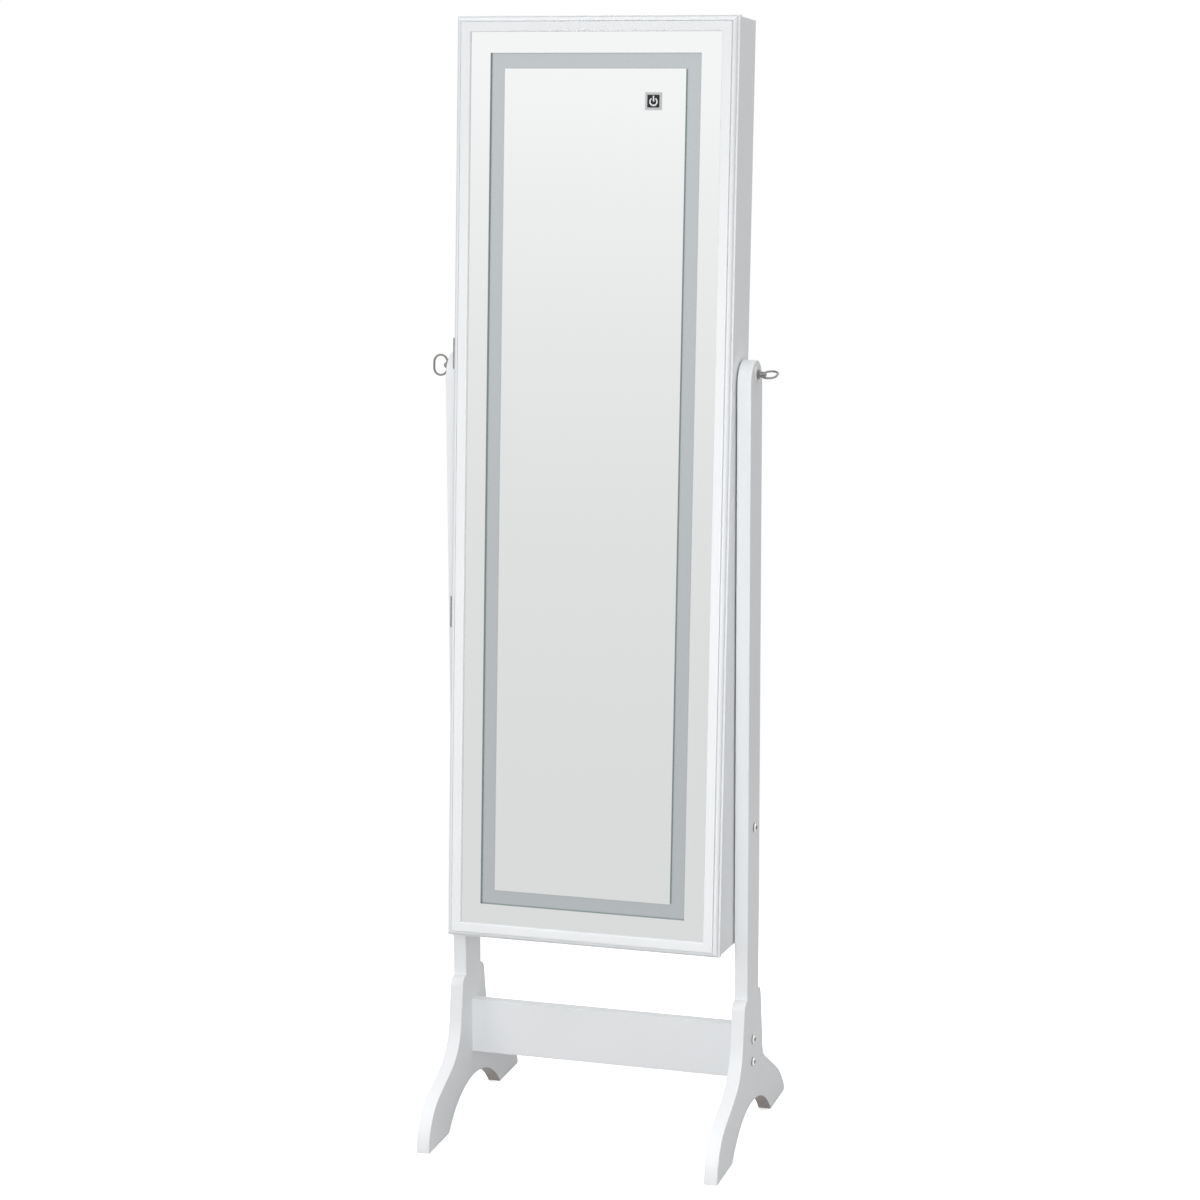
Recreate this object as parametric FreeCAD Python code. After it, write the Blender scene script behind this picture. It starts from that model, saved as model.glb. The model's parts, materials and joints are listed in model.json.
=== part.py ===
import FreeCAD, Part
import math
import os

# A cheval jewelry cabinet: a shallow case with a mirror door, hung between two uprights.
# Millimetres. X is across, -Y is the front, +Z is up. The origin is on the floor, midway
# between the feet. The case and its door are drawn upright about the pivot and then leaned back.

# Door
DOOR_WIDTH = 369.0
DOOR_ABOVE_PIVOT = 444.0
DOOR_BELOW_PIVOT = 745.0
DOOR_THICKNESS = 18.0
DOOR_SETOFF = 60.0          # pivot axis to the front of the door
DOOR_GAP = 2.4              # between door and case, filled by the hinge leaves

# Door frame moulding
FRAME_WIDTH = 20.2
FLAT_INSET = 7.8            # outer edge of the door to the edge of the front flat
FLAT_STEP = 2.0             # drop from the flat to the bead
QUIRK_WIDTH = 1.0           # groove between flat and bead
QUIRK_DEPTH = 1.6
BEAD_RADIUS = 4.6
BEAD_DROP = 3.6             # from the bead down to the outer ledge
EDGE_RADIUS = 0.8
LIP_RADIUS = 0.8
INNER_RADIUS = 1.6          # round beside the glass
FRAME_LIP = 5.0             # overlap of the frame on the glass
GLASS_RECESS = 4.0

# Mirror, light band and switch
GLASS_THICKNESS = 4.0
BAND_INSET = 46.5           # outer edge of the door to the light band
BAND_WIDTH = 19.5
BAND_OVERLAP = 4.0          # light band hidden behind each mirror
BAND_THICKNESS = 2.0
CORE_THICKNESS = 7.0
LED_CHANNEL_WIDTH = 12.0
LED_CHANNEL_DEPTH = 3.4
LED_STRIP_WIDTH = 10.0
LED_STRIP_THICKNESS = 0.6
LED_SIZE = 3.0
LED_HEIGHT = 1.2
LED_PITCH = 50.0
SWITCH_FROM_EDGE = 41.5     # centre of the switch from the centre mirror's right edge
SWITCH_FROM_TOP = 40.0
BEZEL_SIZE = 21.6
BEZEL_RIM = 2.9
BEZEL_PROUD = 0.6
PLATE_SINK = 0.3            # plate below the bezel's face
SYMBOL_RADIUS = 4.6
SYMBOL_STROKE = 1.6
SYMBOL_GAP_ANGLE = 84.0
SYMBOL_DROP = 0.6           # ring's centre below the plate's
SYMBOL_BAR_LOW = 0.9        # ends of the bar above the ring's centre
SYMBOL_BAR_HIGH = 6.6
SYMBOL_THICKNESS = 0.15
MODULE_SIZE = 32.0
MODULE_THICKNESS = 5.0
LEAD_RADIUS = 1.0

# Case
CASE_INSET = 0.9            # case inside the door's outline, on each side
TOTAL_DEPTH = 94.0          # front of the door to the back of the case
PANEL = 12.0
PANEL_ROUND = 1.0
BACK_THICKNESS = 5.0
BACK_REBATE = 6.0
LINING_THICKNESS = 1.5
SHELF_THICKNESS = 9.0
SHELF_SETBACK = 6.0
LOW_BAYS = [130.0, 130.0, 150.0, 390.0]   # clear heights from the bottom; the top bay takes the rest
GUARDED_BAYS = 3            # lowest bays, each with a guard rail
ROD_BAY = 2                 # bay with the bracelet rod, counted from 0

# Fittings in the case
RAIL_RADIUS = 2.5
RAIL_HEIGHT = 25.0          # guard rail above its shelf
RAIL_SETBACK = 5.0
RAIL_SOCKET = 4.0
TRAY_MARGIN = 8.0           # tray and earring panel from the sides, the top and each other
TRAY_FLOOR = 3.0
TRAY_RIM = 4.0
TRAY_RIM_HEIGHT = 13.0
ROLL_HEIGHT = 15.0
ROLL_PITCH = 17.5
ROLL_GAP = 0.6
ROLL_END_SHARE = 0.72       # height and width of a roll at its drawn-in ends
EARRING_PANEL_THICKNESS = 3.0
EARRING_STANDOFF = 16.0
EARRING_SPACER_RADIUS = 4.0
EARRING_SPACER_INSET = 10.0
EARRING_HOLE_RADIUS = 1.6
EARRING_COLUMN_PITCH = 22.0
EARRING_ROW_PITCH = 24.0
PEG_RAIL_HEIGHT = 30.0
PEG_RAIL_THICKNESS = 12.0
PEG_RADIUS = 2.5
PEG_LENGTH = 26.0
PEG_RISE = 18.0             # degrees above level
PEG_PITCH = 30.0
PEG_SEAT = 8.0
ROD_RADIUS = 5.0
ROD_DROP = 45.0             # bracelet rod below the shelf above it
SOCKET_RADIUS = 9.0
SOCKET_LENGTH = 8.0
SOCKET_FLOOR = 2.0

# Hinges and catch
HINGE_HEIGHT = 39.0
HINGE_END = 427.0            # hinge centre from the top and bottom of the door
HINGE_COUNT = 2
LEAF_THICKNESS = 0.9
LEAF_REACH = 11.0           # leaf on to the case edge
BARREL_RADIUS = 2.2
HINGE_PIN_RADIUS = 1.1
HINGE_PIN_HEAD = 0.6
KNUCKLES = 3
KNUCKLE_GAP = 0.3
DOOR_SCREW_SPREAD = 8.0
CASE_SCREW_SPREAD = 14.0
SCREW_RADIUS = 1.4
SCREW_HEAD_RADIUS = 2.6
SCREW_HEAD = 0.25
SCREW_LENGTH = 9.0
CATCH_LENGTH = 44.0
CATCH_WIDTH = 13.0
CATCH_DEPTH = 15.0
CATCH_DROP = 150.0          # below the pivot
STRIKE_LENGTH = 36.0
STRIKE_WIDTH = 10.0
STRIKE_THICKNESS = 1.0
BACK_SCREW_HEAD = 1.2
BACK_SCREW_BITE = 4.0       # into the core of the door
BACK_SCREW_INSET = 24.0
BACK_SCREW_ROWS = 4

# Battery box on the inside of the door
CELL_RADIUS = 7.1
CELL_LENGTH = 50.0
CELL_PITCH = 14.6
CELL_COUNT = 4
CELL_END_ROOM = 3.0
BOX_WALL = 1.5
BOX_LID = 1.6

# Stand
TILT = 4.04                 # degrees that the case leans back on its stops
FLOOR_CLEARANCE = 270.0
BOARD = 18.0
SIDE_GAP = 1.9              # case side to upright
POST_DEPTH = 60.0
PIVOT_DROP = 18.0           # pivot below the top of the post
SHOULDER_HEIGHT = 197.0
SHOULDER_ROUND = 15.0
FRONT_COVE_HALF = 58.5      # inner corner of the front ogee, between waist and toe
FRONT_COVE_HEIGHT = 98.0
FRONT_COVE_RADIUS = 68.0
FRONT_TOE_HALF = 181.5      # outer corner of the front ogee
FRONT_TOE_HEIGHT = 48.0
FRONT_TOE_RADIUS = 70.0
BACK_COVE_HALF = 59.0
BACK_COVE_HEIGHT = 95.0
BACK_COVE_RADIUS = 26.0
BACK_TOE_HALF = 160.0
BACK_TOE_HEIGHT = 37.0
BACK_TOE_RADIUS = 150.0
BACK_TIP_HEIGHT = 8.0       # where the back end of the foot turns upright
BACK_TIP_RADIUS = 8.0
TOE_HALF = 184.0            # end of the foot on the floor
ARCH_HALF = 105.0
ARCH_RISE = 47.0
UPRIGHT_ROUND = 1.2
STRETCHER_HEIGHT = 74.0
STRETCHER_THICKNESS = 16.0
STRETCHER_BOTTOM = 82.0
STRETCHER_ROUND = 1.0

# Stand fasteners
BOLT_RADIUS = 3.0
BOLT_HEAD_RADIUS = 6.0
BOLT_HEAD_RIM = 1.0
BOLT_HEAD_HEIGHT = 3.6
BOLT_SOCKET = 4.0           # across the flats of the hexagon socket
BOLT_SOCKET_DEPTH = 2.0
BOLT_SPACING = 31.0
BOLT_REACH = 34.0           # into the stretcher
BARREL_NUT_RADIUS = 5.0
BARREL_NUT_LENGTH = 12.0
BARREL_NUT_INSET = 26.0     # from the stretcher's end
STOP_DROP = 592.0           # tilt stops below the pivot
STOP_REACH = 12.0
BUMPER_RADIUS = 9.0
BUMPER_CAP = 2.0

# Pivot screws
PIVOT_RADIUS = 4.0
INSERT_RADIUS = 6.5
SPACER_RADIUS = 12.0
WASHER_RADIUS = 9.0
WASHER_THICKNESS = 1.2
COLLAR_RADIUS = 6.0
COLLAR_THICKNESS = 2.0
BOSS_RADIUS = 3.8
BOSS_LENGTH = 7.4
RING_WIDTH = 29.0
RING_LENGTH = 20.8
RING_WIRE_RADIUS = 1.4
RING_SINK = 2.6             # ring's near side inside the end of the boss
LEFT_RING_TURN = 90.0       # degrees from level
RIGHT_RING_TURN = 17.0

# Clearances
FIT = 0.1                   # fixed pieces in their seats, per side
RUNNING = 0.06              # turning shafts in their bores, radially
FREE = 0.3                  # moving pieces that pass each other

# Worked-out places, about the pivot: X across, Y back, Z along the case
HALF_DOOR = DOOR_WIDTH / 2
DOOR_FRONT = -DOOR_SETOFF
DOOR_BACK = DOOR_FRONT + DOOR_THICKNESS
GLASS_FRONT = DOOR_FRONT + GLASS_RECESS
GLASS_BACK = GLASS_FRONT + GLASS_THICKNESS
CORE_BACK = GLASS_BACK + CORE_THICKNESS
CASE_FRONT = DOOR_BACK + DOOR_GAP
CASE_BACK = DOOR_FRONT + TOTAL_DEPTH
HALF_CASE = HALF_DOOR - CASE_INSET
HALF_INSIDE = HALF_CASE - PANEL
CASE_TOP = DOOR_ABOVE_PIVOT - CASE_INSET
CASE_BOTTOM = CASE_INSET - DOOR_BELOW_PIVOT
INSIDE_TOP = CASE_TOP - PANEL
INSIDE_BOTTOM = CASE_BOTTOM + PANEL
LINING_FRONT = CASE_BACK - BACK_THICKNESS - LINING_THICKNESS
SHELF_FRONT = CASE_FRONT + SHELF_SETBACK

# Worked-out places of the stand, on the floor
PIVOT_HEIGHT = FLOOR_CLEARANCE + DOOR_BELOW_PIVOT
POST_TOP = PIVOT_HEIGHT + PIVOT_DROP
UPRIGHT_INNER = HALF_CASE + SIDE_GAP
UPRIGHT_OUTER = UPRIGHT_INNER + BOARD
LEAN = math.radians(TILT)
STOP_HEIGHT = PIVOT_HEIGHT - STOP_DROP
STOP_Y = (CASE_BACK + BUMPER_RADIUS + FREE - STOP_DROP * math.sin(LEAN)) / math.cos(LEAN)
BOLT_HEIGHTS = [STRETCHER_BOTTOM + STRETCHER_HEIGHT / 2 + side * BOLT_SPACING / 2 for side in (-1, 1)]

X_AXIS = FreeCAD.Vector(1, 0, 0)
Y_AXIS = FreeCAD.Vector(0, 1, 0)
Z_AXIS = FreeCAD.Vector(0, 0, 1)
ORIGIN = FreeCAD.Vector(0, 0, 0)
EIGHTH_TURN = 45.0
HALF_TURN = 180.0
FULL_TURN = 360.0
HEXAGON = 6


def block(x, y, z):
    """A box from (low, high) pairs along each axis."""
    size = [pair[1] - pair[0] for pair in (x, y, z)]
    return Part.makeBox(size[0], size[1], size[2], FreeCAD.Vector(x[0], y[0], z[0]))


def rod(radius, start, axis, length):
    """A cylinder from a start point along an axis."""
    return Part.makeCylinder(radius, length, FreeCAD.Vector(*start), axis)


def frame_block(half_out, half_in, y, z_out, z_in):
    """A rectangular ring: an outer block less an inner one, symmetric across X."""
    outer = block((-half_out, half_out), y, z_out)
    return outer.cut(block((-half_in, half_in), y, z_in))


def mirrored(shape):
    """The same piece on the other side."""
    return shape.mirror(ORIGIN, X_AXIS)


def group(shapes):
    """Separate solids that share one node."""
    return Part.makeCompound(shapes)


def quarter_arc(start, end, centre, across):
    """An arc of a quarter circle from start to end, in the plane of the across function."""
    radius = math.hypot(start[0] - centre[0], start[1] - centre[1])
    chord = ((start[0] + end[0]) / 2 - centre[0], (start[1] + end[1]) / 2 - centre[1])
    reach = radius / math.hypot(*chord)
    middle = (centre[0] + chord[0] * reach, centre[1] + chord[1] * reach)
    return Part.Arc(across(start), across(middle), across(end)).toShape()


def line(start, end, across):
    return Part.LineSegment(across(start), across(end)).toShape()


def rounded_corner(before, corner, after, radius, straight):
    """Start, middle and end of the arc that rounds a corner and leaves some of both sides straight."""
    ways = []
    lengths = []
    for point in (before, after):
        step = (point[0] - corner[0], point[1] - corner[1])
        length = math.hypot(*step)
        lengths.append(length)
        ways.append((step[0] / length, step[1] / length))
    half = math.acos(ways[0][0] * ways[1][0] + ways[0][1] * ways[1][1]) / 2
    reach = min(radius / math.tan(half), min(lengths) - straight)
    radius = reach * math.tan(half)
    bisector = (ways[0][0] + ways[1][0], ways[0][1] + ways[1][1])
    size = math.hypot(*bisector)
    depth = radius / math.sin(half) - radius
    ends = [(corner[0] + way[0] * reach, corner[1] + way[1] * reach) for way in ways]
    middle = (corner[0] + bisector[0] / size * depth, corner[1] + bisector[1] / size * depth)
    return ends[0], middle, ends[1]


# Uprights: post, shoulder, waist, ogee, toe and arch in one outline
def upright_side_edges(side, corners):
    """Outline of one side of an upright, from the top of its post round its corners down to the floor."""
    half_post = POST_DEPTH / 2
    waist_top = SHOULDER_HEIGHT - SHOULDER_ROUND

    def across(point):
        return FreeCAD.Vector(UPRIGHT_INNER, side * point[0], point[1])

    start = (half_post + SHOULDER_ROUND, waist_top)
    edges = [
        line((half_post, POST_TOP - half_post), (half_post, SHOULDER_HEIGHT), across),
        quarter_arc((half_post, SHOULDER_HEIGHT), start, (half_post, waist_top), across),
    ]
    ends = [corner[:2] for corner in corners[1:]] + [(TOE_HALF, 0)]
    for corner, after in zip(corners, ends):
        bend = rounded_corner(start, corner[:2], after, corner[2], 2 * UPRIGHT_ROUND)
        edges.append(line(start, bend[0], across))
        edges.append(Part.Arc(*[across(point) for point in bend]).toShape())
        start = bend[2]
    edges.append(line(start, (TOE_HALF, 0), across))
    edges.append(line((TOE_HALF, 0), (ARCH_HALF, 0), across))
    return edges


def make_upright():
    """The right upright, with its pivot, stop and stretcher holes."""
    half_post = POST_DEPTH / 2
    top = Part.Arc(FreeCAD.Vector(UPRIGHT_INNER, half_post, POST_TOP - half_post),
                   FreeCAD.Vector(UPRIGHT_INNER, 0, POST_TOP),
                   FreeCAD.Vector(UPRIGHT_INNER, -half_post, POST_TOP - half_post)).toShape()
    arch = Part.Arc(FreeCAD.Vector(UPRIGHT_INNER, ARCH_HALF, 0),
                    FreeCAD.Vector(UPRIGHT_INNER, 0, ARCH_RISE),
                    FreeCAD.Vector(UPRIGHT_INNER, -ARCH_HALF, 0)).toShape()
    back = upright_side_edges(1, [(BACK_COVE_HALF, BACK_COVE_HEIGHT, BACK_COVE_RADIUS),
                                  (BACK_TOE_HALF, BACK_TOE_HEIGHT, BACK_TOE_RADIUS),
                                  (TOE_HALF, BACK_TIP_HEIGHT, BACK_TIP_RADIUS)])
    front = upright_side_edges(-1, [(FRONT_COVE_HALF, FRONT_COVE_HEIGHT, FRONT_COVE_RADIUS),
                                    (FRONT_TOE_HALF, FRONT_TOE_HEIGHT, FRONT_TOE_RADIUS)])
    outline = Part.Wire(Part.__sortEdges__([top, arch] + back + front))
    board = Part.Face(outline).extrude(FreeCAD.Vector(BOARD, 0, 0))
    above_floor = [edge for edge in board.Edges
                   if edge.BoundBox.XLength < FIT and edge.BoundBox.ZMax > FIT]
    board = board.makeFillet(UPRIGHT_ROUND, above_floor)
    holes = [rod(PIVOT_RADIUS + FREE, (UPRIGHT_INNER, 0, PIVOT_HEIGHT), X_AXIS, BOARD),
             rod(BOLT_RADIUS + FIT, (UPRIGHT_INNER, STOP_Y, STOP_HEIGHT), X_AXIS, BOARD)]
    for height in BOLT_HEIGHTS:
        holes.append(rod(BOLT_RADIUS + FIT, (UPRIGHT_INNER, 0, height), X_AXIS, BOARD))
    return board.cut(holes)


def make_stretcher():
    """The board between the feet, bored for its bolts and for their barrel nuts."""
    half = STRETCHER_THICKNESS / 2
    board = block((-UPRIGHT_INNER, UPRIGHT_INNER), (-half, half),
                  (STRETCHER_BOTTOM, STRETCHER_BOTTOM + STRETCHER_HEIGHT))
    long_edges = [edge for edge in board.Edges if edge.Length > UPRIGHT_INNER]
    board = board.makeFillet(STRETCHER_ROUND, long_edges)
    holes = []
    for height in BOLT_HEIGHTS:
        for side in (-1, 1):
            end = (side * UPRIGHT_INNER, 0, height)
            holes.append(rod(BOLT_RADIUS + FIT, end, X_AXIS * -side, BOLT_REACH + FREE))
            seat = (side * (UPRIGHT_INNER - BARREL_NUT_INSET), half - BARREL_NUT_LENGTH, height)
            holes.append(rod(BARREL_NUT_RADIUS + FIT, seat, Y_AXIS, BARREL_NUT_LENGTH))
    return board.cut(holes)


def dome_bolt(y, height, reach):
    """A right-hand bolt: domed head with a hexagon socket outside, shank through the board."""
    face = UPRIGHT_OUTER
    tip = FreeCAD.Vector(face + BOLT_HEAD_HEIGHT, y, height)
    rim = FreeCAD.Vector(face + BOLT_HEAD_RIM, y, height + BOLT_HEAD_RADIUS)
    rise = BOLT_HEAD_HEIGHT - BOLT_HEAD_RIM
    dome_radius = (BOLT_HEAD_RADIUS ** 2 + rise ** 2) / (2 * rise)
    half_angle = math.asin(BOLT_HEAD_RADIUS / dome_radius) / 2
    between = FreeCAD.Vector(tip.x - dome_radius * (1 - math.cos(half_angle)), y,
                             height + dome_radius * math.sin(half_angle))
    centre = FreeCAD.Vector(face, y, height)
    base = FreeCAD.Vector(face, y, height + BOLT_HEAD_RADIUS)
    profile = Part.Wire([
        Part.LineSegment(centre, base).toShape(),
        Part.LineSegment(base, rim).toShape(),
        Part.Arc(rim, between, tip).toShape(),
        Part.LineSegment(tip, centre).toShape(),
    ])
    head = Part.Face(profile).revolve(centre, X_AXIS, FULL_TURN)
    corner = BOLT_SOCKET / 2 / math.cos(math.pi / HEXAGON)
    floor = tip.x - BOLT_SOCKET_DEPTH
    corners = []
    for step in range(HEXAGON + 1):
        angle = math.radians(step * FULL_TURN / HEXAGON)
        side = FreeCAD.Vector(0, corner * math.cos(angle), corner * math.sin(angle))
        corners.append(FreeCAD.Vector(floor, y, height) + side)
    socket = Part.Face(Part.makePolygon(corners)).extrude(FreeCAD.Vector(BOLT_HEAD_HEIGHT, 0, 0))
    shank = rod(BOLT_RADIUS, (face, y, height), X_AXIS * -1, BOARD + reach)
    return head.cut(socket).fuse(shank).removeSplitter()


def make_stretcher_bolts():
    right = [dome_bolt(0, height, BOLT_REACH) for height in BOLT_HEIGHTS]
    return group(right + [mirrored(bolt) for bolt in right])


def make_barrel_nuts():
    """Cross dowels in the stretcher, each with a threaded cross hole and a driver slot."""
    half = STRETCHER_THICKNESS / 2
    nuts = []
    for height in BOLT_HEIGHTS:
        for side in (-1, 1):
            x = side * (UPRIGHT_INNER - BARREL_NUT_INSET)
            nut = rod(BARREL_NUT_RADIUS, (x, half - BARREL_NUT_LENGTH, height), Y_AXIS, BARREL_NUT_LENGTH)
            start = (x - BARREL_NUT_RADIUS, 0, height)
            hole = rod(BOLT_RADIUS + RUNNING, start, X_AXIS, 2 * BARREL_NUT_RADIUS)
            slot = block((x - BARREL_NUT_RADIUS, x + BARREL_NUT_RADIUS), (half - BOLT_HEAD_RIM, half),
                         (height - BOLT_HEAD_RIM / 2, height + BOLT_HEAD_RIM / 2))
            nuts.append(nut.cut([hole, slot]))
    return group(nuts)


def make_stop_bolts():
    right = dome_bolt(STOP_Y, STOP_HEIGHT, STOP_REACH)
    return group([right, mirrored(right)])


def make_stop_bumpers():
    """Rubber caps on the inner ends of the stop bolts, for the back of the case to lean on."""
    face = (UPRIGHT_INNER, STOP_Y, STOP_HEIGHT)
    cap = rod(BUMPER_RADIUS, face, X_AXIS * -1, STOP_REACH + BUMPER_CAP)
    bore = rod(BOLT_RADIUS + RUNNING, face, X_AXIS * -1, STOP_REACH + RUNNING)
    right = cap.cut(bore)
    return group([right, mirrored(right)])


# Pivot hardware, drawn about the pivot axis on the right-hand side
def make_ring_screw(turn):
    """Threaded shank, collar, boss and an oval wire ring, turned about the screw's axis."""
    inner_end = HALF_INSIDE
    collar_face = UPRIGHT_OUTER + WASHER_THICKNESS + FREE
    boss_face = collar_face + COLLAR_THICKNESS
    shank = rod(PIVOT_RADIUS, (inner_end, 0, 0), X_AXIS, collar_face - inner_end)
    collar = rod(COLLAR_RADIUS, (collar_face, 0, 0), X_AXIS, COLLAR_THICKNESS)
    boss = rod(BOSS_RADIUS, (boss_face, 0, 0), X_AXIS, BOSS_LENGTH)
    crown = Part.makeSphere(BOSS_RADIUS, FreeCAD.Vector(boss_face + BOSS_LENGTH - BOSS_RADIUS / 2, 0, 0))
    bend = RING_LENGTH / 2 - RING_WIRE_RADIUS
    straight = RING_WIDTH - RING_LENGTH
    near = boss_face + BOSS_LENGTH - RING_SINK
    middle = near + bend
    pieces = [shank, collar, boss, crown]
    for side in (-1, 1):
        centre = FreeCAD.Vector(middle, side * straight / 2, 0)
        section = Part.makeCircle(RING_WIRE_RADIUS, centre - X_AXIS * bend, Y_AXIS)
        half_ring = Part.Face(Part.Wire(section)).revolve(centre, Z_AXIS * -side, HALF_TURN)
        pieces.append(half_ring)
    for x in (near, near + 2 * bend):
        pieces.append(rod(RING_WIRE_RADIUS, (x, -straight / 2, 0), Y_AXIS, straight))
    screw = pieces[0].fuse(pieces[1:]).removeSplitter()
    screw.rotate(ORIGIN, X_AXIS, turn)
    return screw


def make_pivot_inserts():
    """Threaded sleeves in the case sides."""
    sleeve = rod(INSERT_RADIUS, (HALF_INSIDE, 0, 0), X_AXIS, PANEL)
    right = sleeve.cut(rod(PIVOT_RADIUS + RUNNING, (HALF_INSIDE, 0, 0), X_AXIS, PANEL))
    return group([right, mirrored(right)])


def make_pivot_spacers():
    """Discs on the case sides that keep the case off the uprights."""
    disc = rod(SPACER_RADIUS, (HALF_CASE, 0, 0), X_AXIS, SIDE_GAP - FREE)
    right = disc.cut(rod(PIVOT_RADIUS + FREE, (HALF_CASE, 0, 0), X_AXIS, SIDE_GAP))
    return group([right, mirrored(right)])


def make_pivot_washers():
    """Washers on the outer faces of the uprights, under the screws' collars."""
    disc = rod(WASHER_RADIUS, (UPRIGHT_OUTER, 0, PIVOT_HEIGHT), X_AXIS, WASHER_THICKNESS)
    right = disc.cut(rod(PIVOT_RADIUS + FREE, (UPRIGHT_OUTER, 0, PIVOT_HEIGHT), X_AXIS, WASHER_THICKNESS))
    return group([right, mirrored(right)])


# Bays of the case, from the bottom up
def bay_floors():
    """The floor of each bay; the first is the case bottom and the rest are shelf tops."""
    floors = [INSIDE_BOTTOM]
    for height in LOW_BAYS:
        floors.append(floors[-1] + height + SHELF_THICKNESS)
    return floors


FLOORS = bay_floors()
TOP_BAY = INSIDE_TOP - FLOORS[-1]
TRAY_HEIGHT = TOP_BAY - TRAY_MARGIN
TRAY_WIDTH = HALF_INSIDE - 2 * TRAY_MARGIN
GUARDED_FLOORS = FLOORS[:GUARDED_BAYS]
RAIL_Y = SHELF_FRONT + RAIL_SETBACK
ROD_HEIGHT = FLOORS[ROD_BAY + 1] - SHELF_THICKNESS - ROD_DROP
ROD_Y = (SHELF_FRONT + LINING_FRONT) / 2
HINGE_X = -HALF_DOOR - BARREL_RADIUS - FREE
HINGE_Y = (DOOR_BACK + CASE_FRONT) / 2
HINGE_LOW = HINGE_END - DOOR_BELOW_PIVOT
HINGE_STEP = (DOOR_ABOVE_PIVOT - HINGE_END - HINGE_LOW) / (HINGE_COUNT - 1)
HINGE_HEIGHTS = [HINGE_LOW + step * HINGE_STEP for step in range(HINGE_COUNT)]


def rounded_outer(board, half_width):
    """Takes the sharpness off the edges of a board's outer face."""
    edges = [edge for edge in board.Edges
             if abs(abs(edge.BoundBox.XMin) - half_width) < FIT and edge.BoundBox.XLength < FIT]
    return board.makeFillet(PANEL_ROUND, edges)


def make_case_side(side):
    """A case side, rebated for the back and bored for the pivot, the guard rails and the hinge screws."""
    board = block((HALF_INSIDE, HALF_CASE), (CASE_FRONT, CASE_BACK), (CASE_BOTTOM, CASE_TOP))
    board = rounded_outer(board, HALF_CASE)
    cuts = [block((HALF_INSIDE, HALF_INSIDE + BACK_REBATE), (CASE_BACK - BACK_THICKNESS, CASE_BACK),
                  (INSIDE_BOTTOM - BACK_REBATE, INSIDE_TOP + BACK_REBATE)),
            rod(INSERT_RADIUS + FIT, (HALF_INSIDE, 0, 0), X_AXIS, PANEL)]
    for floor in GUARDED_FLOORS:
        mouth = (HALF_INSIDE, RAIL_Y, floor + RAIL_HEIGHT)
        cuts.append(rod(RAIL_RADIUS + FIT, mouth, X_AXIS, RAIL_SOCKET + FIT))
    board = board.cut(cuts)
    if side < 0:
        board = mirrored(board).cut(screw_holes(CASE_SCREW_SPREAD, CASE_FRONT, Y_AXIS))
    return board


def make_case_end(low, high, back_low, back_high):
    """The case top or bottom, between the sides, rebated for the back."""
    board = block((-HALF_INSIDE, HALF_INSIDE), (CASE_FRONT, CASE_BACK), (low, high))
    depth = (CASE_BACK - BACK_THICKNESS, CASE_BACK)
    rebate = block((-HALF_INSIDE, HALF_INSIDE), depth, (back_low, back_high))
    return board.cut(rebate)


def make_case_back():
    half = HALF_INSIDE + BACK_REBATE - FIT
    reach = BACK_REBATE - FIT
    return block((-half, half), (CASE_BACK - BACK_THICKNESS, CASE_BACK),
                 (INSIDE_BOTTOM - reach, INSIDE_TOP + reach))


def make_back_lining():
    half = HALF_INSIDE - FIT
    return block((-half, half), (LINING_FRONT, LINING_FRONT + LINING_THICKNESS),
                 (INSIDE_BOTTOM + FIT, INSIDE_TOP - FIT))


def make_shelf(top):
    return block((-HALF_INSIDE, HALF_INSIDE), (SHELF_FRONT, LINING_FRONT), (top - SHELF_THICKNESS, top))


def make_guard_rail(floor):
    """A thin rod across a bay, seated in both sides."""
    half = HALF_INSIDE + RAIL_SOCKET
    return rod(RAIL_RADIUS, (-half, RAIL_Y, floor + RAIL_HEIGHT), X_AXIS, 2 * half)


# Fittings of the top bay
def make_ring_tray():
    """A shallow tray on the top shelf, on its edge against the lining."""
    x = (TRAY_MARGIN, TRAY_MARGIN + TRAY_WIDTH)
    z = (FLOORS[-1], FLOORS[-1] + TRAY_HEIGHT)
    front = LINING_FRONT - TRAY_FLOOR - TRAY_RIM_HEIGHT
    tray = block(x, (front, LINING_FRONT), z)
    hollow = block((x[0] + TRAY_RIM, x[1] - TRAY_RIM), (front, LINING_FRONT - TRAY_FLOOR),
                   (z[0] + TRAY_RIM, z[1] - TRAY_RIM))
    return tray.cut(hollow)


def roll_section(x, middle, width, share):
    """A crowned section of a ring roll: flat on the tray, two arcs meeting at the crown."""
    floor = LINING_FRONT - TRAY_FLOOR - FIT
    half = width / 2 * share
    crown = ROLL_HEIGHT * share
    bulge = math.sin(math.radians(EIGHTH_TURN))
    foot_low = FreeCAD.Vector(x, floor, middle - half)
    foot_high = FreeCAD.Vector(x, floor, middle + half)
    top = FreeCAD.Vector(x, floor - crown, middle)
    side_low = FreeCAD.Vector(x, floor - crown * bulge, middle - half * bulge)
    side_high = FreeCAD.Vector(x, floor - crown * bulge, middle + half * bulge)
    return Part.Wire([
        Part.LineSegment(foot_low, foot_high).toShape(),
        Part.Arc(foot_high, side_high, top).toShape(),
        Part.Arc(top, side_low, foot_low).toShape(),
    ])


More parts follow.
